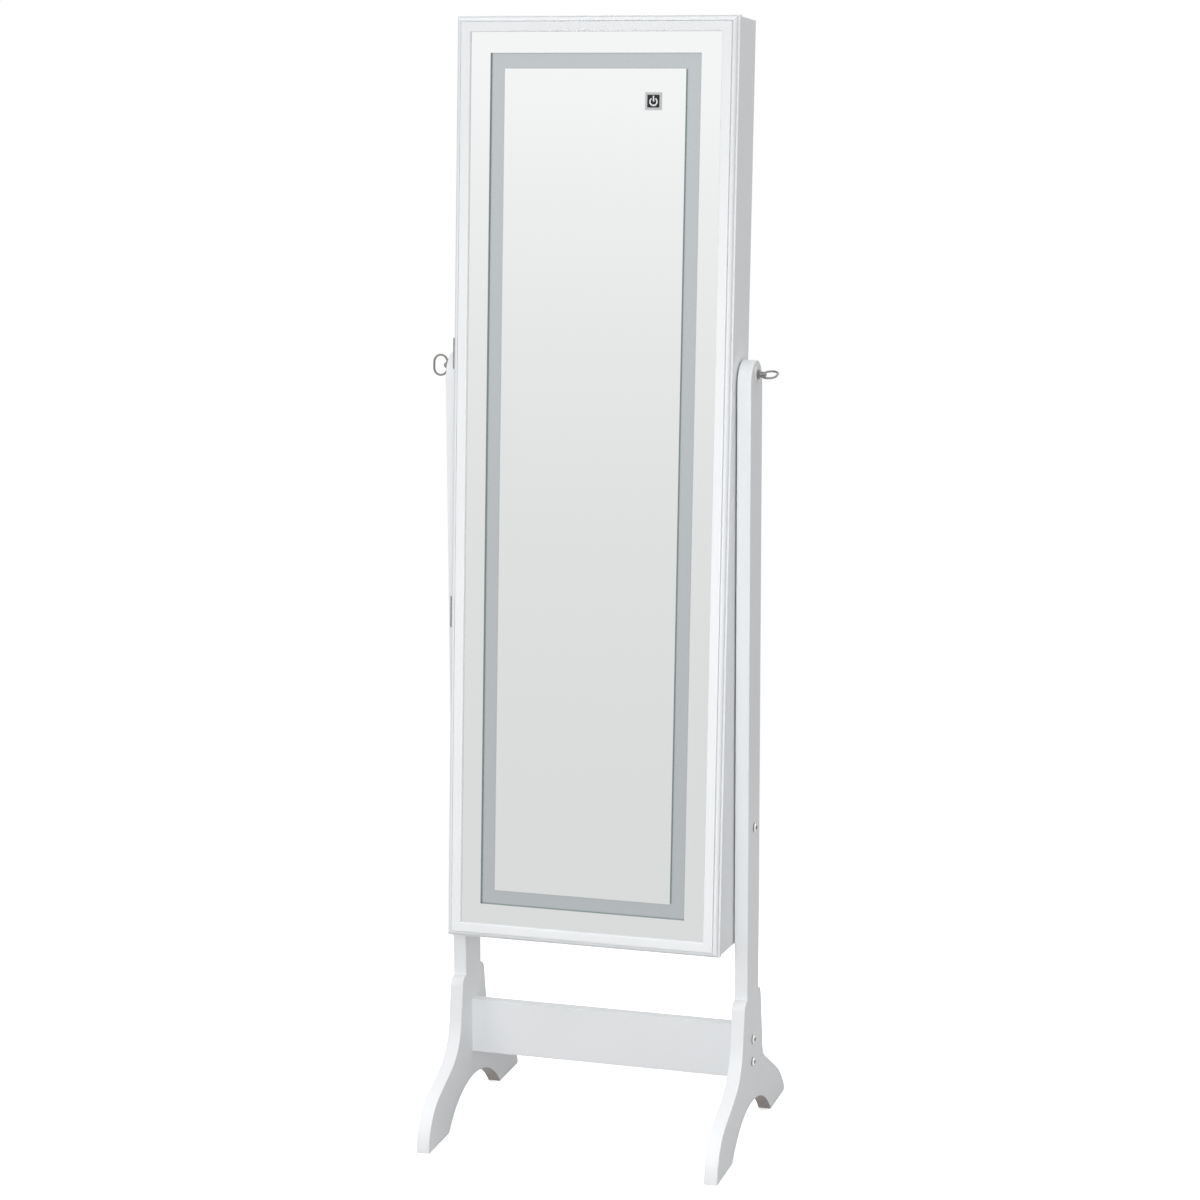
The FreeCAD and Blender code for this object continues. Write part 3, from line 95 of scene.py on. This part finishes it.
# Finishes, as sRGB
LACQUER_WHITE = "F0F2F4"
BOARD_BROWN = "A98A66"
RAW_EDGE = "D6CCC7"
HARDBOARD_WHITE = "E9EAEA"
VELVET_BLACK = "17171A"
VELVET_SHEEN = "8C8C96"
MIRROR_SILVER = "F4F6F5"
GLASS_EDGE = "8FA59E"
MIRROR_BACKING = "7F8486"
FROST_GREY = "C5CACD"
NICKEL_TONE = "A3A2A0"
ZINC_TONE = "A9ABAD"
# Painted highlight and painted shade for bolt heads, standing in for their reflections
BOLT_PAINTED_HIGHLIGHT = "FAFBFC"
BOLT_PAINTED_SHADE = "67696B"
RUBBER_BLACK = "262627"
PLASTIC_WHITE = "EDEDEB"
PLASTIC_BLACK = "1E1E20"
SILVER_PAINT = "C9CBCD"
PANEL_BLACK = "0C0D11"
PRINT_WHITE = "F4F5FA"
PHOSPHOR_YELLOW = "E9DC9A"


def case_points(points):
    """Points drawn square to the case (right, back, up from the pivot), leaned into the object's frame."""
    return PIVOT + np.asarray(points) @ CASE_AXES


def case_view(node):
    """A CAD node's vertices, seen square to the case from the pivot."""
    mesh = NODES[node].data
    flat = np.empty(len(mesh.vertices) * 3)
    mesh.vertices.foreach_get("co", flat)
    return (flat.reshape(-1, 3) - PIVOT) @ CASE_AXES.T


def linear(hex_colour):
    """An sRGB hex value as linear red, green, blue and alpha."""
    channels = [int(hex_colour[i:i + 2], 16) / 255 for i in (0, 2, 4)]
    curve = [c / 12.92 if c <= 0.04045 else ((c + 0.055) / 1.055) ** 2.4 for c in channels]
    return (*curve, 1.0)


def add(tree, kind, values=(), links=(), **settings):
    """Adds a node, sets its settings and socket values, and links sockets from (input, output) pairs."""
    node = tree.nodes.new(kind)
    for name, value in settings.items():
        setattr(node, name, value)
    for socket, value in dict(values).items():
        node.inputs[socket].default_value = value
    for socket, source in dict(links).items():
        tree.links.new(node.inputs[socket], source)
    return node


def new_material(name, **values):
    """A material with one principled shader; values are set on its own sockets."""
    material = bpy.data.materials.new(name)
    material.use_nodes = True
    tree = material.node_tree
    shader = tree.nodes["Principled BSDF"]
    for socket, value in values.items():
        shader.inputs[socket.replace("_", " ")].default_value = value
    return material, tree, shader


def per_mm(size_mm):
    """The scale of a texture whose features are about size_mm across, on metre coordinates."""
    return 1 / (size_mm * MM)


def place(tree):
    """The object coordinates of a piece."""
    return add(tree, "ShaderNodeTexCoord").outputs["Object"]


def noise(tree, size_mm, detail=3.0, roughness=0.55):
    """Noise with features of a real size."""
    values = {"Scale": per_mm(size_mm), "Detail": detail, "Roughness": roughness}
    return add(tree, "ShaderNodeTexNoise", values, {"Vector": place(tree)}).outputs["Fac"]


def feed(tree, socket, source):
    """Sets a socket to a linear colour, or links it from another node's output."""
    if isinstance(source, tuple):
        socket.default_value = source
    else:
        tree.links.new(socket, source)


def ramp(tree, value, limits, results=(0.0, 1.0), style="LINEAR"):
    """Maps a value from one range to another and clamps it."""
    values = {"From Min": limits[0], "From Max": limits[1], "To Min": results[0], "To Max": results[1]}
    node = add(tree, "ShaderNodeMapRange", values, {"Value": value}, interpolation_type=style)
    return node.outputs["Result"]


def spread(tree, factor, low, high):
    """Maps a noise around its middle to a range."""
    return ramp(tree, factor, NOISE_MIDDLE, (low, high))


def times(tree, first, second):
    """The product of two sockets."""
    return add(tree, "ShaderNodeMath", links={0: first, 1: second}, operation="MULTIPLY").outputs[0]


def dot(tree, vector, axis):
    """How far a vector socket reaches along a fixed direction."""
    node = add(tree, "ShaderNodeVectorMath", {1: tuple(axis)}, {0: vector}, operation="DOT_PRODUCT")
    return node.outputs["Value"]


def dimmed(colour, share):
    """A linear colour times a share."""
    return tuple(share * c for c in colour[:3]) + (1.0,)


def two_tone(tree, factor, first, second):
    """Mixes two colours, given as linear tuples or sockets, by a factor."""
    mix = add(tree, "ShaderNodeMix", links={"Factor": factor}, data_type="RGBA")
    feed(tree, mix.inputs[6], first)
    feed(tree, mix.inputs[7], second)
    return mix.outputs[2]


def tinted(tree, colour, factor):
    """A colour times a factor."""
    mix = add(tree, "ShaderNodeMix", {0: 1.0}, {7: factor}, data_type="RGBA", blend_type="MULTIPLY")
    feed(tree, mix.inputs[6], colour)
    return mix.outputs[2]


def along(tree, axis, start):
    """Distance in metres along an axis, counted from a point."""
    reach = dot(tree, place(tree), axis)
    offset = {1: float(np.dot(axis, start))}
    return add(tree, "ShaderNodeMath", offset, {0: reach}, operation="SUBTRACT").outputs[0]


def bump(tree, shader, height, depth_mm, strength=1.0):
    """Raises a surface by a height map of a real depth."""
    values = {"Strength": strength, "Distance": depth_mm * MM}
    relief = add(tree, "ShaderNodeBump", values, {"Height": height})
    tree.links.new(shader.inputs["Normal"], relief.outputs["Normal"])


def own_normal(tree):
    """The outward normal in the piece's own frame, which stays with it when a joint moves."""
    normal = add(tree, "ShaderNodeNewGeometry").outputs["True Normal"]
    return add(tree, "ShaderNodeVectorTransform", links={0: normal}, vector_type="NORMAL",
               convert_from="WORLD", convert_to="OBJECT").outputs[0]


def facing(tree, direction, limit=SQUARE_ON):
    """1 on the faces whose outward normal points along a direction, and 0 elsewhere."""
    share = dot(tree, own_normal(tree), direction)
    return add(tree, "ShaderNodeMath", {1: limit}, {0: share}, operation="GREATER_THAN").outputs[0]


def lacquer_colour(tree):
    """White lacquer with a faint cloudiness, as sprayed fibreboard has."""
    clouds = spread(tree, noise(tree, 90), 0, 1)
    base = linear(LACQUER_WHITE)
    return two_tone(tree, clouds, base, dimmed(base, 0.975))


def lacquer_finish(tree, shader):
    """Orange peel of about 3 mm, drawn a little deeper than a sprayed coat has so that it shows."""
    tree.links.new(shader.inputs["Roughness"], spread(tree, noise(tree, 12), 0.3, 0.4))
    bump(tree, shader, noise(tree, 3.2, 1.0), 0.02)


def satin_lacquer():
    """Satin polyurethane lacquer sprayed on fibreboard: bright, even, with soft wide highlights."""
    material, tree, shader = new_material("satin_white_lacquer", IOR=1.5)
    tree.links.new(shader.inputs["Base Color"], lacquer_colour(tree))
    lacquer_finish(tree, shader)
    return material


def raw_underside_lacquer():
    """Lacquered board, thinly primed under its arch: grey-brown fibre shows where the edge points down."""
    material, tree, shader = new_material("white_lacquer_raw_underside", IOR=1.5)
    below = facing(tree, -UPWARD, UNDERSIDE)
    fibres = spread(tree, noise(tree, 1.6, 6.0, 0.7), 0.75, 1.1)
    brown = tinted(tree, linear(RAW_EDGE), fibres)
    tree.links.new(shader.inputs["Base Color"], two_tone(tree, below, lacquer_colour(tree), brown))
    lacquer_finish(tree, shader)
    return material


def velvet_colour(tree):
    """Black pile with patches brushed lighter and darker."""
    patches = spread(tree, noise(tree, 22, 2.0), 0, 1)
    base = linear(VELVET_BLACK)
    return two_tone(tree, patches, base, dimmed(base, 1.7))


def black_velvet():
    """Flocked velvet on board and foam: deep black, with a pale sheen along its edges and a fine nap."""
    material, tree, shader = new_material("black_velvet_flock", Roughness=0.95, Sheen_Weight=0.35,
                                          Sheen_Roughness=0.4, Specular_IOR_Level=0.1)
    shader.inputs["Sheen Tint"].default_value = linear(VELVET_SHEEN)
    tree.links.new(shader.inputs["Base Color"], velvet_colour(tree))
    bump(tree, shader, noise(tree, 0.9, 4.0, 0.7), 0.15)
    return material


def lined_board(name, inward):
    """A case board, lacquered outside and flocked black on the face that points into the case."""
    material, tree, shader = new_material("white_lacquer_flocked_" + name, IOR=1.5)
    inside = facing(tree, inward)
    colour = two_tone(tree, inside, lacquer_colour(tree), velvet_colour(tree))
    tree.links.new(shader.inputs["Base Color"], colour)
    tree.links.new(shader.inputs["Roughness"], ramp(tree, inside, (0, 1), (0.36, 0.95)))
    bump(tree, shader, noise(tree, 3.2, 1.0), 0.02)
    return material


def silvered_glass():
    """Float glass silvered behind: a clear reflection, green polished edges and a grey painted back."""
    material, tree, shader = new_material("silvered_float_glass", IOR=1.5)
    front = facing(tree, -CASE_BACKWARD)
    back = facing(tree, CASE_BACKWARD)
    edge = two_tone(tree, back, linear(GLASS_EDGE), linear(MIRROR_BACKING))
    tree.links.new(shader.inputs["Base Color"], two_tone(tree, front, edge, linear(MIRROR_SILVER)))
    tree.links.new(shader.inputs["Metallic"], front)
    tree.links.new(shader.inputs["Roughness"], ramp(tree, front, (0, 1), (0.25, 0.015)))
    return material


def etched_glass():
    """Glass etched clear of its silver: silvery matt grey with a fine grain, drawn coarse enough to show,
    with painted shade darkening its outer left and top edges, standing in for the shadow of the recess."""
    material, tree, shader = new_material("etched_glass_diffuser", IOR=1.5, Metallic=0.85)
    view = case_view("light_band")
    corner = case_points((view[:, 0].min(), 0, view[:, 2].max()))
    edges = {0: along(tree, RIGHTWARD, corner), 1: along(tree, -CASE_UP, corner)}
    nearer = add(tree, "ShaderNodeMath", links=edges, operation="MINIMUM").outputs[0]
    # painted shade: the band darkens toward its outer left and top edges, standing in for the recess's shadow
    painted_shade = ramp(tree, nearer, (0, BAND_PAINTED_SHADE_MM * MM), (BAND_PAINTED_SHADE_LEVEL, 1.0), "SMOOTHSTEP")
    grain = spread(tree, noise(tree, 0.8, 2.0), 0.96, 1.04)
    tree.links.new(shader.inputs["Base Color"], tinted(tree, tinted(tree, linear(FROST_GREY), grain), painted_shade))
    tree.links.new(shader.inputs["Roughness"], spread(tree, noise(tree, 5), 0.15, 0.21))
    bump(tree, shader, noise(tree, 0.6, 2.0), 0.03)
    return material


def plated(tree, shader, tone, polish, grain_mm):
    """A metal tone with dull clouds of about 6 mm, and a polish that varies over grain_mm."""
    clouds = spread(tree, noise(tree, 6), 1.0, 0.8)
    tree.links.new(shader.inputs["Base Color"], tinted(tree, tone, clouds))
    tree.links.new(shader.inputs["Roughness"], spread(tree, noise(tree, grain_mm), *polish))
    bump(tree, shader, noise(tree, grain_mm), 0.01)


def nickel_plate():
    """Nickel plated on tumbled castings: a warm grey mirror with soft highlights and dark edges."""
    material, tree, shader = new_material("dull_nickel_plate", Metallic=1.0)
    plated(tree, shader, linear(NICKEL_TONE), (0.1, 0.2), 1.2)
    return material


def zinc_plate():
    """Zinc plated on pressed and turned steel: an even light grey shine."""
    material, tree, shader = new_material("bright_zinc_plate", Metallic=1.0)
    plated(tree, shader, linear(ZINC_TONE), (0.12, 0.2), 2.0)
    return material


def bolt_zinc():
    """Zinc on bolt heads, dark, with a bright ring of painted highlight on the slope of the head and painted shade
    on its crown and rim.
    """
    material, tree, shader = new_material("bolt_zinc_painted_highlight", Metallic=1.0)
    sideways = add(tree, "ShaderNodeSeparateXYZ", links={0: own_normal(tree)}).outputs["X"]
    outward = add(tree, "ShaderNodeMath", links={0: sideways}, operation="ABSOLUTE").outputs[0]
    # painted highlight and painted shade: a bright ring on the slope of the head, with a dark crown and rim,
    # standing in for reflections
    painted_highlight = times(tree, ramp(tree, outward, BOLT_RIM), ramp(tree, outward, BOLT_CROWN))
    tone = two_tone(tree, painted_highlight, linear(BOLT_PAINTED_SHADE), linear(BOLT_PAINTED_HIGHLIGHT))
    plated(tree, shader, tone, (0.12, 0.2), 2.0)
    return material


def moulded(tree, shader, tone, gloss, texture_mm, depth_mm):
    """Moulded colour with faint flow clouds, an uneven gloss and the mould's texture."""
    base = linear(tone)
    clouds = spread(tree, noise(tree, 15), 0, 1)
    tree.links.new(shader.inputs["Base Color"], two_tone(tree, clouds, base, dimmed(base, 0.93)))
    tree.links.new(shader.inputs["Roughness"], spread(tree, noise(tree, 4), *gloss))
    bump(tree, shader, noise(tree, texture_mm, 2.0), depth_mm)


def white_styrene():
    """White polystyrene from a spark-eroded mould: satin, with a texture of about 1 mm, drawn coarse."""
    material, tree, shader = new_material("white_moulded_polystyrene", IOR=1.55)
    moulded(tree, shader, PLASTIC_WHITE, (0.35, 0.5), 1.0, 0.02)
    return material


def black_abs():
    """Black ABS from a spark-eroded mould: dark grey where light grazes it."""
    material, tree, shader = new_material("black_moulded_abs", IOR=1.52)
    moulded(tree, shader, PLASTIC_BLACK, (0.4, 0.55), 1.0, 0.02)
    return material


def black_rubber():
    """Moulded rubber: dull, almost without highlights."""
    material, tree, shader = new_material("black_moulded_rubber", IOR=1.5)
    moulded(tree, shader, RUBBER_BLACK, (0.6, 0.75), 1.4, 0.04)
    return material


def silver_paint():
    """Aluminium paint sprayed on plastic: a bright grey with fine flakes and a soft shine."""
    material, tree, shader = new_material("sprayed_aluminium_paint", IOR=1.5, Metallic=0.6)
    moulded(tree, shader, SILVER_PAINT, (0.24, 0.34), 0.5, 0.01)
    return material


def polished_black():
    """Black acrylic from a polished mould: deep black with a sharp reflection and slight waves."""
    material, tree, shader = new_material("polished_black_acrylic", IOR=1.49)
    moulded(tree, shader, PANEL_BLACK, (0.05, 0.1), 6.0, 0.003)
    return material


def white_ink():
    """Screen-printed white ink: flat and bright."""
    material, tree, shader = new_material("screen_printed_white_ink", IOR=1.5)
    moulded(tree, shader, PRINT_WHITE, (0.4, 0.5), 0.4, 0.01)
    return material


def phosphor_resin():
    """Phosphor cast in silicone over a lamp chip: pale yellow domes with a wet shine."""
    material, tree, shader = new_material("cast_phosphor_resin", IOR=1.41)
    moulded(tree, shader, PHOSPHOR_YELLOW, (0.2, 0.3), 2.0, 0.02)
    return material


def pressed_fibre(tree, shader, tone, contrast):
    """Pressed wood fibres of about 2 mm that fleck the tone and roughen the face."""
    base = linear(tone)
    fibres = spread(tree, noise(tree, 2.2, 6.0, 0.7), 0, 1)
    tree.links.new(shader.inputs["Base Color"], two_tone(tree, fibres, base, dimmed(base, contrast)))
    tree.links.new(shader.inputs["Roughness"], spread(tree, noise(tree, 8), 0.5, 0.65))
    bump(tree, shader, noise(tree, 2.2, 4.0), 0.03)


def white_hardboard():
    """Hardboard with a printed white face: fibres show faintly through the paint."""
    material, tree, shader = new_material("white_faced_hardboard", IOR=1.5)
    pressed_fibre(tree, shader, HARDBOARD_WHITE, 0.95)
    return material


def bare_fibreboard():
    """Sawn fibreboard: matt brown, flecked darker."""
    material, tree, shader = new_material("bare_fibreboard", IOR=1.5)
    pressed_fibre(tree, shader, BOARD_BROWN, 0.86)
    return material


FINISHES = {
    "white_lacquer": satin_lacquer(),
    "white_backing": white_hardboard(),
    "bare_board": bare_fibreboard(),
    "velvet": black_velvet(),
    "mirror_glass": silvered_glass(),
    "frosted_diffuser": etched_glass(),
    "nickel": nickel_plate(),
    "zinc_steel": zinc_plate(),
    "bumper_rubber": black_rubber(),
    "white_plastic": white_styrene(),
    "black_plastic": black_abs(),
    "silver_plastic": silver_paint(),
    "gloss_black": polished_black(),
    "white_print": white_ink(),
    "led_lens": phosphor_resin(),
}
SPECIAL = {
    "left_upright": raw_underside_lacquer(),
    "case_side_left": lined_board("left", RIGHTWARD),
    "case_side_right": lined_board("right", -RIGHTWARD),
    "case_top": lined_board("top", -CASE_UP),
    "case_bottom": lined_board("bottom", CASE_UP),
    "stretcher_bolts": bolt_zinc(),
}
SPECIAL["right_upright"] = SPECIAL["left_upright"]
SPECIAL["stop_bolts"] = SPECIAL["stretcher_bolts"]


def finish_nodes():
    """Gives every CAD node the finish of its material slot, or its own."""
    for entry in frame["record"]["subparts"]:
        name = entry["node"]
        finish = SPECIAL.get(name, FINISHES[entry["material_slot"]])
        slots = NODES[name].data.materials
        slots.clear()
        slots.append(finish)


def surface(name, points, finish):
    """A mesh from sheets of a grid (sheets, rows, columns, 3), closed from its last column to its first;
    points that meet, as at a pole, are welded."""
    sheets, rows, columns = points.shape[:3]
    index = np.arange(sheets * rows * columns).reshape(sheets, rows, columns)
    index = np.concatenate([index, index[..., :1]], axis=-1)
    quads = np.stack([index[:, :-1, :-1], index[:, :-1, 1:], index[:, 1:, 1:], index[:, 1:, :-1]], axis=-1)
    mesh = bpy.data.meshes.new(name)
    mesh.from_pydata(points.reshape(-1, 3), [], quads.reshape(-1, 4))
    shape = bmesh.new()
    shape.from_mesh(mesh)
    bmesh.ops.remove_doubles(shape, verts=shape.verts, dist=WELD)
    bmesh.ops.recalc_face_normals(shape, faces=shape.faces)
    shape.to_mesh(mesh)
    shape.free()
    mesh.materials.append(finish)
    mesh.polygons.foreach_set("use_smooth", np.ones(len(mesh.polygons), dtype=bool))
    mesh.update()
    piece = bpy.data.objects.new(name, mesh)
    bpy.context.scene.collection.objects.link(piece)
    return piece


def make_ring_rolls():
    """Padded rolls side by side. Across a roll the section is a superellipse on a flat foot. Along it, the
    section grows from a rounded end through a drawn-in neck to its full size, with gathers that fade away
    from the seam and a slight slackness that differs from roll to roll."""
    view = case_view("ring_rolls")
    low, high = view.min(axis=0), view.max(axis=0)
    pitch = (high[2] - low[2] + ROLL_GAP) / ROLL_COUNT
    half = (pitch - ROLL_GAP) / 2
    roll = np.arange(ROLL_COUNT)[:, None, None]
    x = (low[0] + (high[0] - low[0]) * (1 - np.cos(np.linspace(0, math.pi, ROLL_ROWS))) / 2)[None, :, None]
    inset = np.minimum(x - low[0], high[0] - x)
    neck = np.clip(inset / (high[1] - low[1]), 0, 1)
    grown = ROLL_END_SHARE + (1 - ROLL_END_SHARE) * neck * neck * (3 - 2 * neck)
    rounded = np.sqrt(1 - (1 - np.clip(inset / ROLL_END_ROUND, 0, 1)) ** 2)
    turn = np.linspace(0, math.pi, ROLL_COLUMNS)[None, None, :]
    gathers = 1 - ROLL_GATHER * np.exp(-inset / ROLL_GATHER_REACH) * (1 + np.cos(ROLL_PLEATS * turn)) / 2
    slack = 1 - ROLL_SLACK * (1 + np.sin(x * 2 * math.pi / ROLL_WAVE + ROLL_WAVE_SHIFT * roll)) / 2
    size = grown * rounded * gathers * slack
    across = np.sign(np.cos(turn)) * np.abs(np.cos(turn)) ** (2 / ROLL_FULLNESS)
    height = np.sin(turn).clip(0) ** (2 / ROLL_FULLNESS)
    foot = np.linspace(-1, 1, ROLL_FOOT_COLUMNS)[None, None, 1:-1]
    flat = grown * rounded * np.ones_like(roll)
    sideways = np.concatenate([size * across, flat * foot], axis=-1)
    raised = np.concatenate([size * height, np.zeros_like(flat * foot)], axis=-1)
    points = np.empty(sideways.shape + (3,))
    points[..., 0] = x
    points[..., 1] = high[1] - (high[1] - low[1]) * raised
    points[..., 2] = low[2] + half + pitch * roll + half * sideways
    rolls = surface("padded_ring_rolls", case_points(points), FINISHES["velvet"])
    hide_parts("ring_rolls")
    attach(rolls, "cabinet")


def make_camera():
    """The camera at the photograph's place, turned by yaw, pitch and roll."""
    yaw, pitch, roll = (math.radians(a) for a in (CAMERA_YAW, CAMERA_PITCH, CAMERA_ROLL))
    ahead = Vector((-math.sin(yaw) * math.cos(pitch), math.cos(yaw) * math.cos(pitch), -math.sin(pitch)))
    level = Vector((math.cos(yaw), math.sin(yaw), 0))
    down = ahead.cross(level)
    right = math.cos(roll) * level + math.sin(roll) * down
    under = math.cos(roll) * down - math.sin(roll) * level
    turn = Matrix((right, -under, -ahead)).transposed()
    data = bpy.data.cameras.new("photo_camera")
    data.lens = CAMERA_LENS_MM
    data.sensor_width = SENSOR_MM
    camera = bpy.data.objects.new("photo_camera", data)
    camera.matrix_world = Matrix.Translation(CAMERA_PLACE) @ turn.to_4x4()
    bpy.context.scene.collection.objects.link(camera)
    bpy.context.scene.camera = camera


# Studio: soft lamps, a white world and a pale floor that fades to white
AMBIENT_LOW = 0.45
AMBIENT_HIGH = 0.81
MIRRORED_CLIMB = (-0.15, 0.12)
MIRRORED_LOW = 0.775
FLAG_SHADE = 0.15
FLAG_BEHIND = (0.1, 0.6)
FLAG_ACROSS = (0.36, 0.06)
FLAG_CLIMB = (0.1, -0.05)
FLOOR_RADIUS = 1.9
FLOOR_RINGS = 24
FLOOR_SPOKES = 96
FLOOR_FADE = (0.5, 1.1)
FLOOR_GLOW = 0.18
FLOOR_MATT = (0.28, 0.28, 0.28, 1)
FLOOR_MIRRORED = (0.9, 0.9, 0.9, 1)
FLOOR_SHOWN = (2.2, 2.2, 2.2, 1)
# Each lamp's name, place and target in metres, its side in metres and its power in watts
LAMPS = (
    ("front_softbox", (0.3, -1.9, 0.85), (0.1, 0, 0.8), 0.8, 15.3),
    ("right_softbox", (2.0, -0.9, 0.45), (0.2, 0, 0.55), 1.0, 3.8),
    ("left_softbox", (-2.0, -2.6, 0.8), (-0.1, 0, 0.7), 1.4, 11.8),
    ("top_softbox", (0, 0, 6.0), (0, 0, 0), 2.0, 60.0),
)


def make_lamps():
    """Large square lamps that look at the object."""
    for name, spot, target, size, power in LAMPS:
        data = bpy.data.lights.new(name, "AREA")
        data.size = size
        data.energy = power
        lamp = bpy.data.objects.new(name, data)
        lamp.location = spot
        lamp.visible_camera = False
        lamp.visible_glossy = False
        lamp.rotation_euler = (Vector(target) - Vector(spot)).to_track_quat("-Z", "Y").to_euler()
        bpy.context.scene.collection.objects.link(lamp)


def make_world():
    """A white studio: white to the camera, and brighter from above to matt surfaces. Mirrors and metal see
    it fade downward, with a dark flag low behind the object on the left."""
    world = bpy.data.worlds.new("white_studio")
    bpy.context.scene.world = world
    world.use_nodes = True
    tree = world.node_tree
    background = tree.nodes["Background"]
    path = add(tree, "ShaderNodeLightPath")
    direction = add(tree, "ShaderNodeTexCoord").outputs["Generated"]
    toward = add(tree, "ShaderNodeSeparateXYZ", links={0: direction}).outputs
    climb = ramp(tree, toward["Z"], MIRRORED_CLIMB)
    fade = ramp(tree, times(tree, climb, climb), (0, 1), (MIRRORED_LOW, 1.0))
    behind = times(tree, ramp(tree, toward["Y"], FLAG_BEHIND), ramp(tree, toward["X"], FLAG_ACROSS))
    flag = times(tree, behind, ramp(tree, toward["Z"], FLAG_CLIMB))
    mirrored = times(tree, fade, ramp(tree, flag, (0, 1), (1.0, FLAG_SHADE)))
    sky = ramp(tree, toward["Z"], (0, 1), (AMBIENT_LOW, AMBIENT_HIGH))
    seen = add(tree, "ShaderNodeMix", links={0: path.outputs["Is Glossy Ray"], 2: sky, 3: mirrored})
    shown = add(tree, "ShaderNodeMix", {3: 1.0}, {0: path.outputs["Is Camera Ray"], 2: seen.outputs[0]})
    tree.links.new(background.inputs["Strength"], shown.outputs[0])
    background.inputs["Color"].default_value = (1, 1, 1, 1)


def make_floor():
    """A round floor: each ring of the grid is a circle, and the outer ones fade into the white world."""
    angles = np.linspace(0, 2 * math.pi, FLOOR_SPOKES, endpoint=False)
    radii = np.linspace(0, FLOOR_RADIUS, FLOOR_RINGS)[:, None]
    points = np.zeros((1, FLOOR_RINGS, FLOOR_SPOKES, 3))
    points[0, ..., 0] = radii * np.cos(angles)
    points[0, ..., 1] = radii * np.sin(angles)
    material = bpy.data.materials.new("pale_studio_floor")
    material.use_nodes = True
    tree = material.node_tree
    tree.nodes.remove(tree.nodes["Principled BSDF"])
    output = tree.nodes["Material Output"]
    distance = add(tree, "ShaderNodeVectorMath", links={0: place(tree)}, operation="LENGTH").outputs["Value"]
    fade = ramp(tree, distance, FLOOR_FADE, style="SMOOTHSTEP")
    path = add(tree, "ShaderNodeLightPath")
    camera_ray = path.outputs["Is Camera Ray"]
    glossy_ray = path.outputs["Is Glossy Ray"]
    dull = two_tone(tree, glossy_ray, FLOOR_MATT, FLOOR_MIRRORED)
    paint = two_tone(tree, camera_ray, dull, FLOOR_SHOWN)
    matt = add(tree, "ShaderNodeBsdfDiffuse", links={"Color": paint})
    mirrored = add(tree, "ShaderNodeMix", {2: FLOOR_GLOW, 3: MIRRORED_LOW}, {0: glossy_ray})
    glow = add(tree, "ShaderNodeMix", {3: 1.0}, {0: camera_ray, 2: mirrored.outputs[0]})
    white = add(tree, "ShaderNodeEmission", links={"Strength": glow.outputs[0]})
    mixed = add(tree, "ShaderNodeMixShader", links={0: fade, 1: matt.outputs[0], 2: white.outputs[0]})
    tree.links.new(output.inputs["Surface"], mixed.outputs[0])
    surface("studio_floor", points, material)


finish_nodes()
make_ring_rolls()
make_camera()
make_lamps()
make_world()
make_floor()
bpy.context.scene.view_settings.view_transform = "Standard"
